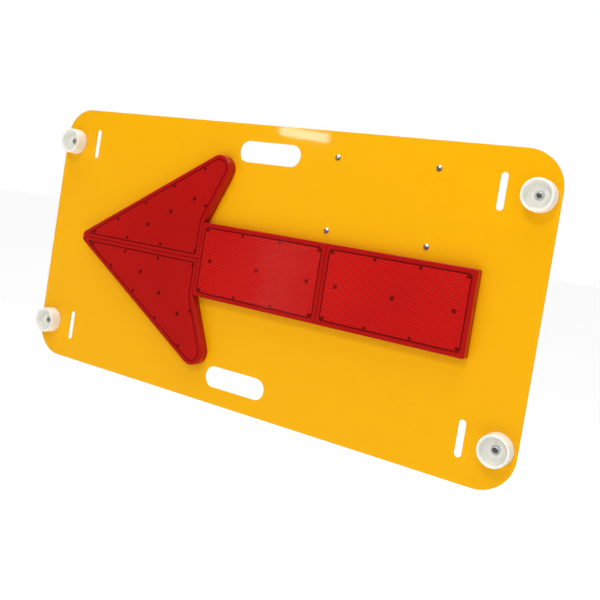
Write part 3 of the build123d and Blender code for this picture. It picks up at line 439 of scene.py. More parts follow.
def board_finishes(look):
    """Finishes of the board, the lens borders, the bumpers and the fasteners."""
    wear = look.wear
    red = tuple(look.lens_colour)
    return {
        "red_lens": lens_plastic("red_lens", tuple(0.8 * part for part in red)),
        # the groove's bands: the lens red painted much darker, as painted shade in the groove
        "red_lens_groove": lens_plastic("red_lens_groove", tuple(0.35 * part for part in red)),
        "yellow_coat": new_finish(
            "yellow_coat", tuple(look.board_colour), 0.34, coat=0.22, coat_roughness=0.04,
            specular=0.1,
            scuff=0.3 * wear, scuff_scale=5.0, scuff_colour=(0.85, 0.4, 0.008), rougher=0.1,
            ripple_scale=170.0, ripple=1.0, grain_scale=1500.0, grain=0.02, bump=mm(0.07),
        ),
        "white_plastic": new_finish(
            "white_plastic", tuple(look.bumper_colour), 0.32, scuff=0.6 * wear,
            scuff_scale=22.0, scuff_colour=(0.62, 0.6, 0.52), grain=0.5, ripple=0.4,
            bump=mm(0.02),
        ),
        "zinc_steel": new_finish(
            "zinc_steel", (0.72, 0.72, 0.73), 0.26, metallic=0.95, scuff=0.8 * wear,
            scuff_scale=90.0, scuff_colour=(0.5, 0.49, 0.47), rougher=0.2, grain=0.4,
            grain_scale=2600.0, bump=mm(0.01),
        ),
        "zinc_satin": new_finish(
            "zinc_satin", (0.74, 0.74, 0.73), 0.5, metallic=0.45, scuff=0.6 * wear,
            scuff_scale=60.0, scuff_colour=(0.55, 0.54, 0.5), grain=0.4, bump=mm(0.01),
        ),
    }


def box_finishes(look):
    """Finishes of the box, the controls, the light boards and the seals."""
    wear = look.wear
    return {
        "circuit_green": new_finish(
            "circuit_green", (0.02, 0.12, 0.05), 0.35, coat=0.3, grain=0.4, bump=mm(0.01),
        ),
        "lamp_clear": new_finish("lamp_clear", (0.82, 0.82, 0.8), 0.08, coat=0.5),
        "foam_black": new_finish(
            "foam_black", (0.018, 0.018, 0.018), 0.95, grain=1.0, grain_scale=2200.0,
            ripple=0.6, bump=mm(0.15),
        ),
        "connector_white": new_finish("connector_white", (0.78, 0.76, 0.7), 0.45, grain=0.4),
        "black_rubber": new_finish(
            "black_rubber", (0.016, 0.016, 0.017), 0.7, scuff=0.5 * wear, scuff_scale=60.0,
            scuff_colour=(0.07, 0.07, 0.07), grain=0.8, grain_scale=1800.0, bump=mm(0.04),
        ),
        "box_grey": new_finish(
            "box_grey", tuple(look.box_colour), 0.5, scuff=0.6 * wear, scuff_scale=12.0,
            scuff_colour=(0.42, 0.42, 0.41), grain=1.0, grain_scale=1100.0, ripple=0.3,
            bump=mm(0.06),
        ),
        "battery_black": new_finish(
            "battery_black", (0.025, 0.025, 0.028), 0.45, scuff=0.4 * wear, grain=0.7,
        ),
        "brass": new_finish("brass", (0.72, 0.5, 0.2), 0.28, metallic=1.0, scuff=0.4 * wear),
        "black_plastic": new_finish(
            "black_plastic", (0.018, 0.018, 0.019), 0.4, scuff=0.4 * wear, scuff_scale=50.0,
            scuff_colour=(0.06, 0.06, 0.06), grain=0.7, bump=mm(0.02),
        ),
        "fuse_blue": new_finish("fuse_blue", (0.03, 0.12, 0.5), 0.15, coat=0.3),
        "rocker_red": new_finish(
            "rocker_red", (0.45, 0.012, 0.01), 0.22, coat=0.3, scuff=0.3 * wear,
        ),
        "button_green": new_finish("button_green", (0.02, 0.27, 0.06), 0.25, coat=0.3),
        "gland_black": new_finish(
            "gland_black", (0.02, 0.02, 0.021), 0.5, scuff=0.4 * wear, grain=0.8, bump=mm(0.03),
        ),
    }


def make_finishes():
    """Every finish but the lens fields', by the record's slot name."""
    look = bpy.context.scene.arrow_board_finish
    return {**board_finishes(look), **box_finishes(look)}


FINISHES = {}


# ------------------------------------------------------------------ mesh helpers
def in_plane(points, y):
    """Puts (x, z) points on the plane at this y."""
    return [Vector((x, y, z)) for x, z in points]


def meet(start, along, other_start, other_along):
    """Point where two lines in a plane cross."""
    apart = other_start - start
    across = along.x * other_along.y - along.y * other_along.x
    return start + along * ((apart.x * other_along.y - apart.y * other_along.x) / across)


def rounded_loop(corners, radii, steps=8):
    """Anticlockwise loop of (x, z) points with an arc of equal steps at each corner."""
    count = len(corners)
    points = []
    for i, corner in enumerate(corners):
        before = (corners[i - 1] - corner).normalized()
        after = (corners[(i + 1) % count] - corner).normalized()
        half = before.angle(after) / 2
        centre = corner + (before + after).normalized() * (radii[i] / math.sin(half))
        start = corner + before * (radii[i] / math.tan(half)) - centre
        convex = before.x * after.y - before.y * after.x < 0
        sweep = (math.pi - 2 * half) * (1 if convex else -1)
        for k in range(steps + 1):
            turned = Matrix.Rotation(sweep * k / steps, 2) @ start
            points.append(tuple(centre + turned))
    return points


def loft(bm, loops, shaded=()):
    """Closed solid through loops of equal length, capped at both ends.

    Bands whose number is in shaded take the second finish."""
    rings = [[bm.verts.new(point) for point in loop] for loop in loops]
    for number, (low, high) in enumerate(zip(rings, rings[1:])):
        for i in range(len(low)):
            j = (i + 1) % len(low)
            face = bm.faces.new((low[i], low[j], high[j], high[i]))
            face.material_index = 1 if number in shaded else 0
    bm.faces.new(rings[0])
    bm.faces.new(list(reversed(rings[-1])))


def lathe(bm, profile, segments=72, closed=False):
    """Turns a profile of (radius, height) about the Y axis; height runs towards -Y.

    A closed profile makes a ring with a hole; an open one starts and ends on the axis."""
    rings = []
    for radius, height in profile:
        if radius < 1e-9:
            rings.append([bm.verts.new((0, -height, 0))])
            continue
        rings.append([
            bm.verts.new((
                radius * math.cos(2 * math.pi * k / segments), -height,
                radius * math.sin(2 * math.pi * k / segments),
            ))
            for k in range(segments)
        ])
    pairs = list(zip(rings, rings[1:]))
    if closed:
        pairs.append((rings[-1], rings[0]))
    for low, high in pairs:
        for k in range(segments):
            n = (k + 1) % segments
            corners = (
                low[k % len(low)], low[n % len(low)], high[n % len(high)], high[k % len(high)]
            )
            kept = list(dict.fromkeys(corners))
            if len(kept) > 2:
                bm.faces.new(kept)


def arc(centre, radius, start, end, steps):
    """(radius, height) points along an arc, angles in degrees."""
    return [
        (
            centre[0] + radius * math.cos(math.radians(start + (end - start) * k / steps)),
            centre[1] + radius * math.sin(math.radians(start + (end - start) * k / steps)),
        )
        for k in range(steps + 1)
    ]


def to_object(bm, name, finish, sharp=38.0):
    """Makes an object of a bmesh, with outward normals and sharp edges by angle."""
    bmesh.ops.remove_doubles(bm, verts=bm.verts, dist=1e-7)
    bmesh.ops.recalc_face_normals(bm, faces=bm.faces)
    mesh = bpy.data.meshes.new(name)
    bm.to_mesh(mesh)
    bm.free()
    mesh.polygons.foreach_set("use_smooth", [True] * len(mesh.polygons))
    mesh.set_sharp_from_angle(angle=math.radians(sharp))
    mesh.materials.append(finish)
    made = bpy.data.objects.new(name, mesh)
    bpy.context.scene.collection.objects.link(made)
    return made


def apply_modifiers(piece):
    """Turns a piece with its modifiers into a plain mesh."""
    graph = bpy.context.evaluated_depsgraph_get()
    mesh = bpy.data.meshes.new_from_object(piece.evaluated_get(graph))
    piece.modifiers.clear()
    piece.data = mesh
    mesh.name = piece.name


def even_normals(piece):
    """Keeps large flat faces flat where they meet a narrow rounded edge."""
    weighted = piece.modifiers.new("even_normals", "WEIGHTED_NORMAL")
    weighted.keep_sharp = True
    apply_modifiers(piece)


def carve(piece, cutter):
    """Cuts one closed mesh out of another and drops the cutter."""
    cut = piece.modifiers.new("carve", "BOOLEAN")
    cut.object = cutter
    cut.operation = "DIFFERENCE"
    cut.solver = "EXACT"
    apply_modifiers(piece)
    bpy.data.objects.remove(cutter)


def settle(piece, slot_name, *nodes):
    """Rides a finished piece on the board and lets it stand for its CAD nodes."""
    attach(piece, BODY)
    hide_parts(*nodes)


def solids_of(node):
    """(lowest, highest) corner of each separate solid in a CAD node."""
    bm = bmesh.new()
    bm.from_mesh(frame["nodes"][node].data)
    bmesh.ops.remove_doubles(bm, verts=bm.verts, dist=1e-6)
    waiting = set(bm.verts)
    found = []
    while waiting:
        reached = [waiting.pop()]
        low, high = reached[0].co.copy(), reached[0].co.copy()
        while reached:
            vert = reached.pop()
            low = Vector(map(min, low, vert.co))
            high = Vector(map(max, high, vert.co))
            for edge in vert.link_edges:
                other = edge.other_vert(vert)
                if other in waiting:
                    waiting.remove(other)
                    reached.append(other)
        found.append((low, high))
    bm.free()
    return sorted(found, key=lambda pair: (round(pair[0].x, 5), round(pair[0].z, 5)))


# ------------------------------------------------------------------ repeated pieces
def set_out_tree():
    """Geometry nodes: one pattern piece on every point, turned at random about Y."""
    tree = bpy.data.node_groups.new("set_out", "GeometryNodeTree")
    face = tree.interface
    face.new_socket(name="Geometry", in_out="INPUT", socket_type="NodeSocketGeometry")
    face.new_socket(name="Pattern", in_out="INPUT", socket_type="NodeSocketObject")
    face.new_socket(name="Largest Turn", in_out="INPUT", socket_type="NodeSocketFloat")
    face.new_socket(name="Seed", in_out="INPUT", socket_type="NodeSocketInt")
    face.new_socket(name="Finish", in_out="INPUT", socket_type="NodeSocketMaterial")
    face.new_socket(name="Geometry", in_out="OUTPUT", socket_type="NodeSocketGeometry")
    source = add_node(tree, "NodeGroupInput", (-800, 0))
    sink = add_node(tree, "NodeGroupOutput", (600, 0))
    pattern = add_node(tree, "GeometryNodeObjectInfo", (-500, -200))
    turn = add_node(tree, "FunctionNodeRandomValue", (-500, -420), data_type="FLOAT")
    about_y = add_node(tree, "ShaderNodeCombineXYZ", (-280, -420))
    placed = add_node(tree, "GeometryNodeInstanceOnPoints", (-60, 0))
    real = add_node(tree, "GeometryNodeRealizeInstances", (160, 0))
    painted = add_node(tree, "GeometryNodeSetMaterial", (380, 0))
    link = tree.links.new
    link(source.outputs["Geometry"], placed.inputs["Points"])
    link(source.outputs["Pattern"], pattern.inputs["Object"])
    link(source.outputs["Largest Turn"], turn.inputs["Max"])
    link(source.outputs["Seed"], turn.inputs["Seed"])
    link(turn.outputs["Value"], about_y.inputs["Y"])
    link(about_y.outputs[0], placed.inputs["Rotation"])
    link(pattern.outputs["Geometry"], placed.inputs["Instance"])
    link(placed.outputs["Instances"], real.inputs["Geometry"])
    link(real.outputs["Geometry"], painted.inputs["Geometry"])
    link(source.outputs["Finish"], painted.inputs["Material"])
    link(painted.outputs["Geometry"], sink.inputs["Geometry"])
    return tree


def flute_tree():
    """Geometry nodes: raises each point of a lens field into ridges, level or slanted."""
    tree = bpy.data.node_groups.new("flutes", "GeometryNodeTree")
    face = tree.interface
    face.new_socket(name="Geometry", in_out="INPUT", socket_type="NodeSocketGeometry")
    for name in ("Pitch", "Depth", "Slant", "Valley"):
        face.new_socket(name=name, in_out="INPUT", socket_type="NodeSocketFloat")
    face.new_socket(name="Finish", in_out="INPUT", socket_type="NodeSocketMaterial")
    face.new_socket(name="Geometry", in_out="OUTPUT", socket_type="NodeSocketGeometry")
    source = add_node(tree, "NodeGroupInput", (-1400, 0))
    sink = add_node(tree, "NodeGroupOutput", (800, 0))
    link = tree.links.new

    def maths(operation, first, second, place):
        made = add_node(tree, "ShaderNodeMath", place, operation=operation)
        for socket, value in zip(made.inputs, (first, second)):
            if isinstance(value, (int, float)):
                socket.default_value = value
            elif value is not None:
                link(value, socket)
        return made.outputs[0]

    where = add_node(tree, "GeometryNodeInputPosition", (-1400, -300))
    parts = add_node(tree, "ShaderNodeSeparateXYZ", (-1200, -300))
    link(where.outputs[0], parts.inputs[0])
    slant = source.outputs["Slant"]
    along_z = maths("MULTIPLY", parts.outputs["Z"], maths("COSINE", slant, None, (-1200, -500)),
                    (-1000, -400))
    along_x = maths("MULTIPLY", parts.outputs["X"], maths("SINE", slant, None, (-1200, -650)),
                    (-1000, -550))
    across = maths("SUBTRACT", along_z, along_x, (-800, -450))
    turns = maths("DIVIDE", across, source.outputs["Pitch"], (-600, -450))
    angle = maths("MULTIPLY", turns, 2 * math.pi, (-420, -450))
    wave = maths("COSINE", angle, None, (-240, -450))
    lifted = maths("ADD", maths("MULTIPLY", wave, 0.5, (-60, -450)), 0.5, (120, -450))
    height = maths("MULTIPLY", lifted, source.outputs["Depth"], (300, -450))
    top = maths("GREATER_THAN", source.outputs["Valley"], parts.outputs["Y"], (-60, -250))
    forward = maths("MULTIPLY", maths("MULTIPLY", height, top, (300, -250)), -1, (460, -350))
    offset = add_node(tree, "ShaderNodeCombineXYZ", (460, -180))
    link(forward, offset.inputs["Y"])
    moved = add_node(tree, "GeometryNodeSetPosition", (300, 0))
    real = add_node(tree, "GeometryNodeRealizeInstances", (460, 0))
    painted = add_node(tree, "GeometryNodeSetMaterial", (620, 0))
    link(source.outputs["Geometry"], moved.inputs["Geometry"])
    link(offset.outputs[0], moved.inputs["Offset"])
    link(moved.outputs["Geometry"], real.inputs["Geometry"])
    link(real.outputs["Geometry"], painted.inputs["Geometry"])
    link(source.outputs["Finish"], painted.inputs["Material"])
    link(painted.outputs["Geometry"], sink.inputs["Geometry"])
    return tree


def set_inputs(modifier, tree, **values):
    """Sets a geometry nodes modifier's inputs by their names (spaces as underscores)."""
    modifier.node_group = tree
    for item in tree.interface.items_tree:
        key = item.name.replace(" ", "_")
        if item.in_out == "INPUT" and key in values:
            modifier[item.identifier] = values[key]


def set_out(name, places, pattern, finish, turn=2 * math.pi, seed=1):
    """One object with the pattern piece at every place, as a plain mesh."""
    tree = bpy.data.node_groups.get("set_out") or set_out_tree()
    mesh = bpy.data.meshes.new(name)
    mesh.from_pydata([tuple(place) for place in places], [], [])
    made = bpy.data.objects.new(name, mesh)
    bpy.context.scene.collection.objects.link(made)
    nodes = made.modifiers.new("set_out", "NODES")
    set_inputs(nodes, tree, Pattern=pattern, Largest_Turn=turn, Seed=seed, Finish=finish)
    apply_modifiers(made)
    bpy.data.objects.remove(pattern)
    return made


# ------------------------------------------------------------------ lenses
ARROW_POINT = Vector((mm(-496), 0))
ARROW_HALF_ANGLE = math.radians(31)
WING_RADIUS = mm(30)
TIP_RADIUS = mm(14.4)        # rounding of the arrow's point
TIP_SHRINK = 2.8             # how fast that rounding gets smaller further in
TIP_LEAST = mm(6)            # where it would be smaller, the field has its own tip instead
FIELD_TIP_RADIUS = mm(2)
SEAM_TIP_RADIUS = mm(0.6)    # corner between the point and the seam, outside
FIELD_SEAM_TIP_RADIUS = mm(1.6)
OUTER_BAND = mm(3)           # loops nearer the outline than this keep its small corners
FIELD_BAND = mm(7)           # loops further in than this have the field's corners
NOTCH_RADIUS = mm(5)
LENS_CORNER = mm(4)
FIELD_CORNER = mm(8)
SMALL_CORNER = mm(1.2)
FIELD_TIP_CUT = mm(8)        # the fluted field stops this far short of its own sharp tip
LENS_WALL = mm(2.6)
LENS_DRAFT = mm(0.3)
GROOVE_DEPTH = mm(0.9)
GROOVE_WIDTH = mm(2.6)
SEAM_CLOSE = mm(0.2)         # how far a lens flange reaches into the gap to its neighbour
SEAM_SHARE = 0.4             # edge rounding at a seam, as a share of the outer edge's
SEAM_LIMIT = mm(1.3)
FOOT_CHAMFER = mm(0.25)
EDGE_STEPS = 6               # faces round a lens's outer edge
POST_RADIUS = mm(4)
POST_SIDES = 20
WIDE_POST = 1.25             # a plain post's radius, as a share of a screw post's
HEAD_POSTS = ((212, 54), (274, 91), (334, 126))  # millimetres from the point, up or down
HEAD_SEAM_POST = (357, 16)
SHAFT_POSTS = (-121, 0, 121)  # millimetres from the middle of a straight lens
# how far the painted corner shadows sit in from a straight lens's edges
CORNER_SHADOW_INSET = mm(16)
TRAY_GAP = mm(4)             # from a light board's back to where the posts end
FLUTE_CUTS = 6               # faces across one ridge

# how strongly the flutes of each lens show, in depth and in painted valley shade, and how light its
# plastic is
FLUTE_STRENGTH = {"head_upper": 0.5, "head_lower": 0.12, "shaft_inner": 1.0, "shaft_outer": 1.0}
LENS_TONE = {"head_upper": 0.84, "head_lower": 0.84, "shaft_inner": 1.0, "shaft_outer": 1.0}
VALLEY_SHADE = 0.9           # how far a valley's painted shade goes towards its darker tone
# colour at the bottom of a valley's painted shade, as a share of the plastic's
PAINTED_VALLEY_TONE = 0.2
# colour of a post's painted shadow, as a share of the plastic's
POST_SHADOW_TONE = 0.12
SPOT_CORE = 0.55             # dark core of a post's painted shadow, as a share of the post's radius
SPOT_SOFT = 0.7              # soft band round the core
SPOT_SHADE = 0.85
CLOUD_DARK = 0.85            # darkest and lightest tone of the plastic's slow clouding
CLOUD_LIGHT = 1.12


def flute_across():
    """Direction across the ridges."""
    angle = bpy.context.scene.arrow_board_shape.flute_angle
    return Vector((-math.sin(angle), 0, math.cos(angle)))


def seam_inset(inwards):
    """Inset along a seam: the same as elsewhere, but with a tighter edge."""
    return max(inwards * SEAM_SHARE, inwards - SEAM_LIMIT)


def head_corners(side, inwards):
    """Corners and radii of a head lens, moved inwards; side is 1 for upper, -1 for lower."""
    low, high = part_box("lens_head_upper")
    shaft_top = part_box("lens_shaft_inner")[1].z
    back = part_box("lens_shaft_inner")[0].x - 2 * low.z + SEAM_CLOSE
    at_seam = seam_inset(inwards)
    direction = Vector((math.cos(ARROW_HALF_ANGLE), math.sin(ARROW_HALF_ANGLE)))
    inward = Vector((direction.y, -direction.x))
    reach = WING_RADIUS
    # the wing's rounding touches the box at its top and at its right
    wing_centre_z = high.z - reach
    long_start = ARROW_POINT + inward * reach
    wing_centre = meet(long_start, direction, Vector((0, wing_centre_z)), Vector((1, 0)))
    notch = Vector((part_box("lens_shaft_inner")[0].x, shaft_top))
    to_centre = wing_centre - notch
    lean = math.asin(reach / to_centre.length)
    flank = (Matrix.Rotation(-lean, 2) @ to_centre).normalized()
    flank_in = Vector((-flank.y, flank.x))
    long_at = ARROW_POINT + inward * inwards
    flank_at = notch + flank_in * inwards
    seam = low.z - SEAM_CLOSE + at_seam
    wing_at = meet(long_at, direction, flank_at, flank)
    notch_at = meet(flank_at, flank, Vector((back - at_seam, 0)), Vector((0, 1)))
    sharp = meet(long_at, direction, Vector((0, seam)), Vector((1, 0)))
    front_x = low.x + inwards
    tip_radius = TIP_RADIUS - TIP_SHRINK * inwards
    if tip_radius < TIP_LEAST:
        front_x = max(front_x, sharp.x + FIELD_TIP_CUT)
        tip_radius = FIELD_TIP_RADIUS
    tip_at = meet(long_at, direction, Vector((front_x, 0)), Vector((0, 1)))
    corners = [
        Vector((front_x, seam)), Vector((back - at_seam, seam)), notch_at, wing_at, tip_at
    ]
    outside = inwards < OUTER_BAND
    radii = [
        SEAM_TIP_RADIUS if outside else FIELD_SEAM_TIP_RADIUS,
        SMALL_CORNER if outside else FIELD_CORNER / 2,
        NOTCH_RADIUS + inwards,
        WING_RADIUS - inwards,
        tip_radius,
    ]
    if side < 0:
        corners = [Vector((c.x, -c.y)) for c in reversed(corners)]
        radii = list(reversed(radii))
    return corners, radii


def shaft_corners(module, inwards):
    """Corners and radii of a straight lens, moved inwards."""
    low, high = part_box(f"lens_{module}")
    seam = seam_inset(inwards)
    left = low.x - SEAM_CLOSE + seam
    right = high.x + SEAM_CLOSE - seam if module == "shaft_inner" else high.x - inwards
    bottom, top = low.z + inwards, high.z - inwards
    corners = [
        Vector((left, bottom)), Vector((right, bottom)), Vector((right, top)), Vector((left, top))
    ]
    in_field = inwards > FIELD_BAND
    radius = FIELD_CORNER if in_field else max(LENS_CORNER - inwards, SMALL_CORNER)
    return corners, [radius] * 4


def lens_loop(module, inwards):
    """Outline of a lens as (x, z) points, moved inwards."""
    if module.startswith("head"):
        return rounded_loop(*head_corners(1 if module == "head_upper" else -1, inwards))
    return rounded_loop(*shaft_corners(module, inwards))


def post_places(module):
    """Post centres of a lens from the frame: the screws behind it and the plain posts."""
    low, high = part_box(f"lens_{module}")
    shaft_low, shaft_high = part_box("lens_shaft_inner")
    head = module.startswith("head")
    screws = [
        Vector(((a.x + b.x) / 2, 0, (a.z + b.z) / 2)) for a, b in solids_of("module_screws")
    ]
    spots = [
        (s, POST_RADIUS) for s in screws
        if low.x < s.x < high.x and low.z < s.z < high.z
        and not (head and s.x > shaft_low.x and abs(s.z) < shaft_high.z)
    ]
    if not head:
        middle = Vector(((low.x + high.x) / 2, 0, (low.z + high.z) / 2))
        return spots + [
            (middle + Vector((mm(x), 0, 0)), POST_RADIUS * WIDE_POST) for x in SHAFT_POSTS
        ]
    up = 1 if module == "head_upper" else -1
    for (x, z), share in [(post, WIDE_POST) for post in HEAD_POSTS] + [(HEAD_SEAM_POST, 1)]:
        spots.append((Vector((ARROW_POINT.x + mm(x), 0, up * mm(z))), POST_RADIUS * share))
    return spots


def corner_post_shadows(module):
    """Places of painted post shadows in the four corners of a straight lens, with no post modelled
    behind them.
    """
    if module.startswith("head"):
        return []
    low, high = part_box(f"lens_{module}")
    return [
        (Vector((x, 0, z)), POST_RADIUS)
        for x in (low.x + CORNER_SHADOW_INSET, high.x - CORNER_SHADOW_INSET)
        for z in (low.z + CORNER_SHADOW_INSET, high.z - CORNER_SHADOW_INSET)
    ]


def make_field(module, finish, top):
    """The fluted field of a lens: a thin closed plate cut into strips, then raised."""
    shape = bpy.context.scene.arrow_board_shape
    loop = lens_loop(module, shape.border + GROOVE_WIDTH)
    depth = shape.flute_depth * FLUTE_STRENGTH[module]
    valley = top + depth
    bm = bmesh.new()
    bm.faces.new([bm.verts.new(p) for p in in_plane(loop, valley)])
    across = flute_across()
    reach = [vert.co.dot(across) for vert in bm.verts]
    step = shape.flute_pitch / FLUTE_CUTS
    first = math.ceil(min(reach) / step)
    last = math.floor(max(reach) / step)
    for k in range(first, last + 1):
        bmesh.ops.bisect_plane(
            bm, geom=bm.verts[:] + bm.edges[:] + bm.faces[:], dist=1e-7,
            plane_co=across * (k * step), plane_no=across,
        )
    rim = [edge for edge in bm.edges if edge.is_boundary]
    skirt = bmesh.ops.extrude_edge_only(bm, edges=rim)["geom"]
    base = valley + GROOVE_DEPTH
    for part in skirt:
        if isinstance(part, bmesh.types.BMVert):
            part.co.y = base
    bmesh.ops.holes_fill(bm, edges=[edge for edge in bm.edges if edge.is_boundary], sides=0)
    field = to_object(bm, f"field_{module}", finish, sharp=50)
    nodes = field.modifiers.new("flutes", "NODES")
    tree = bpy.data.node_groups.get("flutes") or flute_tree()
    set_inputs(
        nodes, tree, Pitch=shape.flute_pitch, Depth=depth,
        Slant=shape.flute_angle, Valley=valley + GROOVE_DEPTH / 2, Finish=finish,
    )
    apply_modifiers(field)
    return field


def make_lens(module):
    """One red lens: drafted walls, round edge, smooth border, groove, fluted field, posts."""
    shape = bpy.context.scene.arrow_board_shape
    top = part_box(f"lens_{module}")[0].y
    height = FRONT_Y - top
    ceiling = height - LENS_WALL
    edge = shape.lens_edge
    rings = [(LENS_WALL, ceiling), (LENS_WALL, 0), (FOOT_CHAMFER, 0), (0, FOOT_CHAMFER)]
    for k in range(EDGE_STEPS + 1):
        angle = math.pi / 2 * k / EDGE_STEPS
        rings.append((
            LENS_DRAFT + edge * (1 - math.cos(angle)), height - edge * (1 - math.sin(angle))
        ))
    border = shape.border
    dip = height - GROOVE_DEPTH
    # over the groove's lip, down its wall, then under the field
    rings += [
        (border - mm(0.35), height),
        (border - mm(0.1), height - mm(0.12)),
        (border + mm(0.15), dip + mm(0.15)),
        (border + mm(0.45), dip),
        (border + GROOVE_WIDTH + mm(0.2), dip),
    ]
    bm = bmesh.new()
    loops = [in_plane(lens_loop(module, inwards), FRONT_Y - up) for inwards, up in rings]
    # the groove's bands take the second, darker finish: painted shade in the groove
    loft(bm, loops, shaded=range(len(rings) - 4, len(rings) - 1))
    spots = post_places(module)
    tray_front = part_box(f"led_board_{module}")[1].y + TRAY_GAP
    for centre, _ in spots:
        circle = [
            (centre.x + POST_RADIUS * math.cos(a), centre.z + POST_RADIUS * math.sin(a))
            for a in (2 * math.pi * k / POST_SIDES for k in range(POST_SIDES))
        ]
        loft(bm, [in_plane(circle, tray_front), in_plane(circle, top + LENS_WALL / 2)])
    shell = to_object(bm, f"lens_{module}_shell", FINISHES["red_lens"])
    shell.data.materials.append(FINISHES["red_lens_groove"])
    even_normals(shell)
    # dark spots: painted shadows of the posts, and the same painted spots in the corners
    marks = spots + corner_post_shadows(module)
    finish = field_finish(module, [(Vector((c.x, top, c.z)), r) for c, r in marks])
    field = make_field(module, finish, top)
    return join(f"lens_{module}_moulding", [shell, field])


def join(name, pieces):
    """Joins plain mesh objects into the first, which keeps its custom normals."""
    with bpy.context.temp_override(active_object=pieces[0], selected_editable_objects=pieces):
        bpy.ops.object.join()
    pieces[0].name = name
    pieces[0].data.name = name
    return pieces[0]


# ------------------------------------------------------------------ bumpers and fasteners
CUP_DRAFT = mm(0.5)          # how much narrower a cup is at its rim
CUP_FOOT = mm(0.6)
CUP_SEAT_H = mm(0.8)         # raised seat of the washer
CUP_HOLE = mm(3.3)
CUP_HOLE_CHAMFER = mm(0.3)
FLOOR_RING_H = mm(0.9)
FLOOR_RING = (mm(15.6), mm(16), mm(17.2), mm(17.6))  # radii: inner foot and top, outer ones
SEAT_EDGE = (mm(12), mm(12.4))  # radii of the washer seat's top and foot
SCREW_LIP = mm(0.2)          # broken edge under a screw head
SCREW_POINT = mm(0.6)        # chamfer at a screw's end
BOLT_HOLE = mm(3.05)         # hole of a washer or nut
NUT_TURNED = 1.14            # corners of a nut cut to this share of half its width

# node, head, head radius, head height and shank radius (mm), faces the front, seed
SCREWS = (
    ("bumper_screws", "pan", 6.2, 3.3, 3, True, 2),
    ("box_mount_screws", "dome", 6.2, 3.2, 3, True, 3),
    ("module_screws", "pan", 3.6, 2.4, 1.35, False, 5),
    ("lid_screws", "pan", 3.4, 2.0, 1.55, False, 6),
)


def bumper_profile(radius, height, floor, wall, hole):
    """Closed profile of a bumper cup: foot, drafted wall, round rim, bowl and ringed floor."""
    rim = wall / 2
    top = radius - CUP_DRAFT
    ring, seat = floor + FLOOR_RING_H, floor + CUP_SEAT_H
    inner_foot, inner_top, outer_top, outer_foot = FLOOR_RING
    seat_top, seat_foot = SEAT_EDGE
    return (
        [(hole, 0), (radius - CUP_FOOT, 0), (radius, CUP_FOOT), (radius, mm(3))]
        + [(top, height - rim - mm(1))]
        + arc((top - rim, height - rim), rim, 0, 180, 12)
        + [(top - wall - mm(0.6), floor + mm(3.4))]
        + arc((radius - wall - mm(4.2), floor + mm(3.2)), mm(3.1), 0, -90, 6)
        + [(outer_foot, floor), (outer_top, ring), (inner_top, ring), (inner_foot, floor)]
        + [(seat_foot, floor), (seat_top, seat), (hole + CUP_HOLE_CHAMFER, seat)]
        + [(hole, seat - CUP_HOLE_CHAMFER)]
    )


def dome_profile(radius, height, shank, tail):
    """Open profile of a domed screw: dome, seat, shank and chamfered end."""
    cap = (radius * radius + height * height) / (2 * height)
    span = math.degrees(math.asin(radius / cap))
    dome = [
        (cap * math.sin(math.radians(a)), height - cap + cap * math.cos(math.radians(a)))
        for a in (span * k / 9 for k in range(10))
    ]
    return dome + [(radius - SCREW_LIP, 0), (shank, 0), (shank, SCREW_POINT - tail),
                   (shank - SCREW_POINT, -tail), (0, -tail)]


def pan_profile(radius, height, shank, tail):
    """Open profile of a pan head screw: flat top with a round shoulder, then the shank."""
    shoulder = height * 0.62
    return (
        [(0, height)]
        + arc((radius - shoulder, height - shoulder), shoulder, 90, 0, 7)
        + [(radius, SCREW_LIP), (radius - SCREW_LIP, 0), (shank, 0)]
        + [(shank, SCREW_POINT - tail), (shank - SCREW_POINT, -tail), (0, -tail)]
    )


def cross_cutter(width, length, top, depth):
    """Tapered cross that cuts a driver recess."""
    bm = bmesh.new()
    for long_x in (True, False):
        loops = []
        for up, share in ((top + mm(0.5), 1.0), (top - depth, 0.45)):
            across, along = width / 2 * (0.6 + 0.4 * share), length / 2 * share
            sx, sz = (along, across) if long_x else (across, along)
            loops.append(in_plane([(-sx, -sz), (sx, -sz), (sx, sz), (-sx, sz)], -up))
        loft(bm, loops)
    return to_object(bm, "cross_cutter", FINISHES["zinc_steel"])


def hex_cutter(across_flats, top, depth):
    """Hexagon prism that cuts a socket."""
    bm = bmesh.new()
    radius = across_flats / math.sqrt(3)
    shape = [
        (radius * math.cos(math.pi / 3 * k), radius * math.sin(math.pi / 3 * k))
        for k in range(6)
    ]
    loft(bm, [in_plane(shape, -(top + mm(0.5))), in_plane(shape, -(top - depth))])
    return to_object(bm, "hex_cutter", FINISHES["zinc_steel"])


def flip(piece):
    """Turns a pattern piece to face the back."""
    piece.data.transform(Matrix.Rotation(math.pi, 4, "Z"))


def screw_group(node, kind, head_radius, head_height, shank, facing_front, seed):
    """Every screw of a CAD group node, made from one pattern and set out by the nodes."""
    solids = solids_of(node)
    low, high = solids[0]
    length = high.y - low.y
    tail = length - head_height
    bm = bmesh.new()
    make = dome_profile if kind == "dome" else pan_profile
    lathe(bm, make(head_radius, head_height, shank, tail), segments=40)
    pattern = to_object(bm, f"{node}_pattern", FINISHES["zinc_steel"])
    if kind == "dome":
        cutter = hex_cutter(mm(4), head_height, mm(2.0))
    else:
        cutter = cross_cutter(head_radius * 0.3, head_radius * 1.15, head_height, head_height * 0.6)
    carve(pattern, cutter)
    seats = []
    for low, high in solids:
        seat = low.y + head_height if facing_front else high.y - head_height
        seats.append(((low.x + high.x) / 2, seat, (low.z + high.z) / 2))
    if not facing_front:
        flip(pattern)
    made = set_out(f"{node}_set", seats, pattern, FINISHES["zinc_steel"], seed=seed)
    made.data.set_sharp_from_angle(angle=math.radians(38))
    settle(made, "zinc_steel", node)


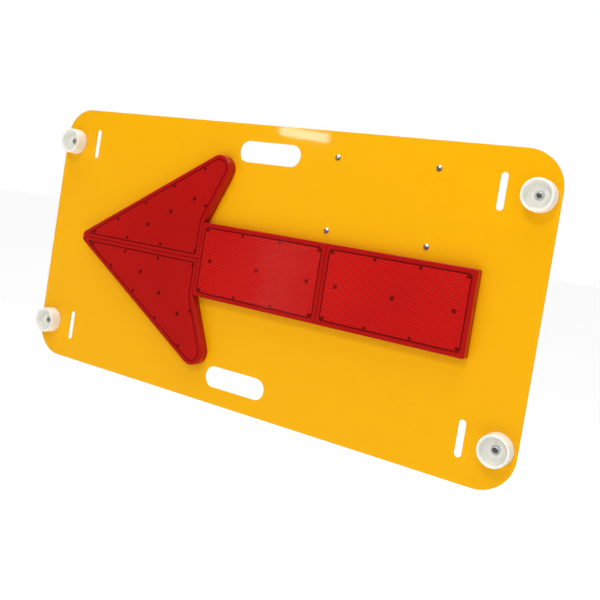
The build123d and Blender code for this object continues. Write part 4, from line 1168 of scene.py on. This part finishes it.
def washer_group(node):
    """Flat washers with broken edges."""
    solids = solids_of(node)
    low, high = solids[0]
    radius, thick = (high.x - low.x) / 2, high.y - low.y
    chamfer = mm(0.15)
    bm = bmesh.new()
    lathe(bm, [
        (BOLT_HOLE, chamfer), (BOLT_HOLE + chamfer, 0), (radius - chamfer, 0), (radius, chamfer),
        (radius, thick - chamfer), (radius - chamfer, thick), (BOLT_HOLE + chamfer, thick),
        (BOLT_HOLE, thick - chamfer),
    ], segments=48, closed=True)
    pattern = to_object(bm, f"{node}_pattern", FINISHES["zinc_steel"])
    places = [((a.x + b.x) / 2, b.y, (a.z + b.z) / 2) for a, b in solids]
    made = set_out(f"{node}_set", places, pattern, FINISHES["zinc_satin"])
    made.data.set_sharp_from_angle(angle=math.radians(30))
    settle(made, "zinc_steel", node)


def nut_group(node, seed):
    """Hexagon nuts with chamfered corners, facing the back."""
    solids = solids_of(node)
    low, high = solids[0]
    flat, thick = min(high.z - low.z, high.x - low.x), high.y - low.y
    steps = 48
    turns = [2 * math.pi * k / steps for k in range(steps)]
    hexagon = [
        flat / 2 / math.cos(((a + math.pi / 6) % (math.pi / 3)) - math.pi / 6) for a in turns
    ]
    corner = flat / 2 * NUT_TURNED
    levels = [
        ([min(reach, corner) - mm(0.35) for reach in hexagon], 0),
        (hexagon, mm(0.25)),
        (hexagon, thick - mm(0.9)),
        ([min(reach, corner) - mm(0.5) for reach in hexagon], thick - mm(0.3)),
        ([BOLT_HOLE + mm(1.0)] * steps, thick),
        ([BOLT_HOLE] * steps, thick - mm(0.4)),
        ([BOLT_HOLE] * steps, 0),
    ]
    bm = bmesh.new()
    rings = [
        [bm.verts.new((reach * math.cos(a), -up, reach * math.sin(a)))
         for reach, a in zip(reaches, turns)]
        for reaches, up in levels
    ]
    for one, two in zip(rings, rings[1:] + rings[:1]):
        for i in range(steps):
            j = (i + 1) % steps
            bm.faces.new((one[i], one[j], two[j], two[i]))
    pattern = to_object(bm, f"{node}_pattern", FINISHES["zinc_steel"], sharp=25)
    flip(pattern)
    places = [((a.x + b.x) / 2, a.y, (a.z + b.z) / 2) for a, b in solids]
    made = set_out(f"{node}_set", places, pattern, FINISHES["zinc_steel"], turn=0, seed=seed)
    made.data.set_sharp_from_angle(angle=math.radians(25))
    settle(made, "zinc_steel", node)


# ------------------------------------------------------------------ CAD nodes that stay
def soften(node, width, segments=2, clamp=True):
    """Rounds the sharp edges of a CAD node that stays on show."""
    piece = frame["nodes"][node]
    weld = piece.modifiers.new("weld", "WELD")
    weld.merge_threshold = 1e-6
    flats = piece.modifiers.new("whole_flats", "DECIMATE")
    flats.decimate_type = "DISSOLVE"
    flats.angle_limit = math.radians(0.4)
    bevel = piece.modifiers.new("round_edges", "BEVEL")
    bevel.width = width
    bevel.segments = segments
    bevel.use_clamp_overlap = clamp
    bevel.limit_method = "ANGLE"
    bevel.angle_limit = math.radians(50)
    weighted = piece.modifiers.new("even_normals", "WEIGHTED_NORMAL")
    weighted.keep_sharp = True


def paint(node, finish):
    """Gives every material slot of a CAD node one finish."""
    for holder in frame["nodes"][node].material_slots:
        holder.material = finish


# ------------------------------------------------------------------ operators
class ARROWBOARD_OT_finishes(bpy.types.Operator):
    """Build the finishes and give each CAD piece that stays its own"""

    bl_idname = "arrow_board.finishes"
    bl_label = "Finishes"

    def execute(self, context):
        FINISHES.update(make_finishes())
        for part in frame["record"]["subparts"]:
            if part["material_slot"] in FINISHES:
                paint(part["node"], FINISHES[part["material_slot"]])
        return {"FINISHED"}


class ARROWBOARD_OT_panel(bpy.types.Operator):
    """Round the edges of the coated board"""

    bl_idname = "arrow_board.panel"
    bl_label = "Board"

    def execute(self, context):
        soften("sign_panel", mm(0.5))
        return {"FINISHED"}


class ARROWBOARD_OT_lenses(bpy.types.Operator):
    """Make the four fluted lenses"""

    bl_idname = "arrow_board.lenses"
    bl_label = "Lenses"

    def execute(self, context):
        for module in MODULES:
            settle(make_lens(module), "red_lens", f"lens_{module}")
        return {"FINISHED"}


class ARROWBOARD_OT_bumpers(bpy.types.Operator):
    """Make the four stacking bumpers"""

    bl_idname = "arrow_board.bumpers"
    bl_label = "Bumpers"

    def execute(self, context):
        wall = context.scene.arrow_board_shape.bumper_wall
        low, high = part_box("bumper_upper_left")
        radius, height = (high.x - low.x) / 2, high.y - low.y
        floor = FRONT_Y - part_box("bumper_washers")[1].y - CUP_SEAT_H
        bm = bmesh.new()
        lathe(bm, bumper_profile(radius, height, floor, wall, CUP_HOLE), 96, closed=True)
        pattern = to_object(bm, "bumper_pattern", FINISHES["white_plastic"], sharp=50)
        even_normals(pattern)
        boxes = [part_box(f"bumper_{corner}") for corner in BUMPERS]
        places = [((a.x + b.x) / 2, FRONT_Y, (a.z + b.z) / 2) for a, b in boxes]
        made = set_out("bumper_cups", places, pattern, FINISHES["white_plastic"], seed=4)
        settle(made, "white_plastic", *(f"bumper_{corner}" for corner in BUMPERS))
        return {"FINISHED"}


class ARROWBOARD_OT_fasteners(bpy.types.Operator):
    """Set out the screws, washers and nuts"""

    bl_idname = "arrow_board.fasteners"
    bl_label = "Fasteners"

    def execute(self, context):
        for node, kind, head_radius, head_height, shank, facing_front, seed in SCREWS:
            screw_group(
                node, kind, mm(head_radius), mm(head_height), mm(shank), facing_front, seed
            )
        for node in ("bumper_washers", "box_mount_washers"):
            washer_group(node)
        for seed, node in enumerate(("bumper_lock_nuts", "box_mount_nuts"), start=7):
            nut_group(node, seed)
        return {"FINISHED"}


class ARROWBOARD_OT_box(bpy.types.Operator):
    """Round the edges of the control box, its controls and its cable gland"""

    bl_idname = "arrow_board.box"
    bl_label = "Control box"

    def execute(self, context):
        for node in ("control_box_body", "control_box_lid"):
            soften(node, mm(0.9), clamp=False)
        for node in ("gland_body", "gland_dome_nut", "power_switch_housing", "charge_cap"):
            soften(node, mm(0.35))
        for node in ("power_rocker", "mode_button_housing", "charge_socket", "panel_grommet"):
            soften(node, mm(0.2))
        return {"FINISHED"}


class ARROWBOARD_OT_stage(bpy.types.Operator):
    """Add the pale floor, the soft lights and the camera"""

    bl_idname = "arrow_board.stage"
    bl_label = "Stage"

    def execute(self, context):
        look = context.scene.arrow_board_stage
        make_floor(look)
        make_lights()
        make_world()
        make_camera(look)
        context.scene.view_settings.view_transform = "Standard"
        return {"FINISHED"}


FLOOR_HALF = 60.0
FLOOR_TONE = 0.96
FLOOR_MIRRORED = 0.03        # the floor's tone in reflections
SENSOR_WIDTH = 36.0          # millimetres
SHIFT_UP = -0.0692
SUN_STRENGTH = 2.6
SUN_SPREAD = math.radians(60)
EVEN_LIGHT = 0.22            # what the world adds to dull surfaces from every side
MIRRORED_LOW = 0.02          # the world in reflections, below and at the horizon
MIRRORED_HIGH = 0.5          # the same straight up
MIRRORED_START = 0.2         # how far up it starts to get lighter

# name, place, size and watts of each area light
LIGHTS = (
    ("key", (0.3, -3.2, 2.7), (1.1, 0.7), 42),
    ("fill", (1.9, -1.9, 1.1), (0.5, 0.7), 8),
    ("softbox", (-2.6, -1.5, 0.0), (1.0, 1.4), 0.3),
    ("lamp", (-1.61, -2.68, 0.64), (0.3, 0.055), 2.1),
    ("back_light", (-0.8, 3.2, 2.2), (1.2, 0.9), 66),
)


def make_floor(look):
    """A wide pale floor below the board, dark only in reflections."""
    bm = bmesh.new()
    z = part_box("sign_panel")[0].z - look.floor_drop
    bm.faces.new([
        bm.verts.new((FLOOR_HALF * x, FLOOR_HALF * y, z))
        for x, y in ((-1, -1), (1, -1), (1, 1), (-1, 1))
    ])
    finish = new_finish("pale_floor", (FLOOR_TONE,) * 3, 0.8)
    tree = finish.node_tree
    paths = add_node(tree, "ShaderNodeLightPath", (-600, 300))
    tone = add_node(tree, "ShaderNodeMix", (-300, 300), data_type="RGBA")
    tone.inputs["A"].default_value = (*(FLOOR_TONE,) * 3, 1)
    tone.inputs["B"].default_value = (*(FLOOR_MIRRORED,) * 3, 1)
    tree.links.new(paths.outputs["Is Glossy Ray"], tone.inputs["Factor"])
    tree.links.new(tone.outputs["Result"], tree.nodes["Principled BSDF"].inputs["Base Color"])
    to_object(bm, "floor", finish)


def make_light(name, place, size, power):
    """One soft area light that faces the board's middle."""
    data = bpy.data.lights.new(name, "AREA")
    data.shape = "RECTANGLE"
    data.size, data.size_y = size
    data.energy = power
    light = bpy.data.objects.new(name, data)
    light.location = place
    light.rotation_mode = "QUATERNION"
    light.rotation_quaternion = (-Vector(place)).to_track_quat("-Z", "Y")
    bpy.context.scene.collection.objects.link(light)


def make_lights():
    """Soft lights in front, at the sides and behind, a small lamp, and a broad sun overhead."""
    for name, place, size, watts in LIGHTS:
        make_light(name, place, size, watts)
    data = bpy.data.lights.new("overhead", "SUN")
    data.energy = SUN_STRENGTH
    data.angle = SUN_SPREAD
    overhead = bpy.data.objects.new("overhead", data)
    overhead.location = (0, 0, 3)
    bpy.context.scene.collection.objects.link(overhead)


def make_world():
    """White backdrop, even pale light, and a darker surround in reflections."""
    world = bpy.data.worlds.new("pale_world")
    bpy.context.scene.world = world
    world.use_nodes = True
    tree = world.node_tree
    link = tree.links.new

    def surround(strength, row):
        made = add_node(tree, "ShaderNodeBackground", (0, -200 * row))
        made.inputs["Color"].default_value = (1, 1, 1, 1)
        made.inputs["Strength"].default_value = strength
        return made

    even = tree.nodes["Background"]
    even.inputs["Color"].default_value = (1, 1, 1, 1)
    even.inputs["Strength"].default_value = EVEN_LIGHT
    seen, mirrored = surround(1.0, 1), surround(MIRRORED_HIGH, 2)
    paths = add_node(tree, "ShaderNodeLightPath", (-400, 300))
    direction = add_node(tree, "ShaderNodeTexCoord", (-600, -400))
    parts = add_node(tree, "ShaderNodeSeparateXYZ", (-400, -400))
    height = add_node(tree, "ShaderNodeMapRange", (-200, -400))
    height.inputs["From Min"].default_value = MIRRORED_START
    height.inputs["To Min"].default_value = MIRRORED_LOW
    height.inputs["To Max"].default_value = MIRRORED_HIGH
    link(direction.outputs["Generated"], parts.inputs[0])
    link(parts.outputs["Z"], height.inputs["Value"])
    link(height.outputs["Result"], mirrored.inputs["Strength"])
    unseen = add_node(tree, "ShaderNodeMixShader", (200, -100))
    camera = add_node(tree, "ShaderNodeMixShader", (400, 0))
    link(paths.outputs["Is Diffuse Ray"], unseen.inputs[0])
    link(mirrored.outputs[0], unseen.inputs[1])
    link(even.outputs[0], unseen.inputs[2])
    link(paths.outputs["Is Camera Ray"], camera.inputs[0])
    link(unseen.outputs[0], camera.inputs[1])
    link(seen.outputs[0], camera.inputs[2])
    link(camera.outputs[0], tree.nodes["World Output"].inputs["Surface"])


def make_camera(look):
    """Camera on the tail side, a little above the middle and rolled."""
    data = bpy.data.cameras.new("camera")
    data.lens = look.lens
    data.sensor_width = SENSOR_WIDTH
    data.shift_y = SHIFT_UP
    camera = bpy.data.objects.new("camera", data)
    flat = math.cos(look.elevation)
    back = Vector((
        math.sin(look.azimuth) * flat, -math.cos(look.azimuth) * flat, math.sin(look.elevation)
    ))
    turn = (-back).to_track_quat("-Z", "Y").to_matrix() @ Matrix.Rotation(-look.roll, 3, "Z")
    place = Vector(look.aim) + back * look.distance
    camera.matrix_world = Matrix.Translation(place) @ turn.to_4x4()
    bpy.context.scene.collection.objects.link(camera)
    bpy.context.scene.camera = camera


class ARROWBOARD_PT_maker(bpy.types.Panel):
    """Lists the steps that make the arrow board"""

    bl_idname = "ARROWBOARD_PT_maker"
    bl_label = "Arrow board"
    bl_space_type = "VIEW_3D"
    bl_region_type = "UI"
    bl_category = "Arrow board"

    def draw(self, context):
        for settings in ("arrow_board_shape", "arrow_board_finish", "arrow_board_stage"):
            holder = getattr(context.scene, settings)
            block = self.layout.box()
            for name in holder.__annotations__:
                block.prop(holder, name)
        for step in STEPS:
            self.layout.operator(step.bl_idname)


STEPS = (
    ARROWBOARD_OT_finishes,
    ARROWBOARD_OT_panel,
    ARROWBOARD_OT_lenses,
    ARROWBOARD_OT_bumpers,
    ARROWBOARD_OT_fasteners,
    ARROWBOARD_OT_box,
    ARROWBOARD_OT_stage,
)
SETTINGS = (ArrowBoardShape, ArrowBoardFinish, ArrowBoardStage)


def register():
    for kind in (*SETTINGS, *STEPS, ARROWBOARD_PT_maker):
        bpy.utils.register_class(kind)
    bpy.types.Scene.arrow_board_shape = bpy.props.PointerProperty(type=ArrowBoardShape)
    bpy.types.Scene.arrow_board_finish = bpy.props.PointerProperty(type=ArrowBoardFinish)
    bpy.types.Scene.arrow_board_stage = bpy.props.PointerProperty(type=ArrowBoardStage)


def unregister():
    del bpy.types.Scene.arrow_board_stage
    del bpy.types.Scene.arrow_board_finish
    del bpy.types.Scene.arrow_board_shape
    for kind in reversed((*SETTINGS, *STEPS, ARROWBOARD_PT_maker)):
        bpy.utils.unregister_class(kind)


def main():
    register()
    for step in STEPS:
        group_name, name = step.bl_idname.split(".")
        getattr(getattr(bpy.ops, group_name), name)()


if __name__ == "__main__":
    main()
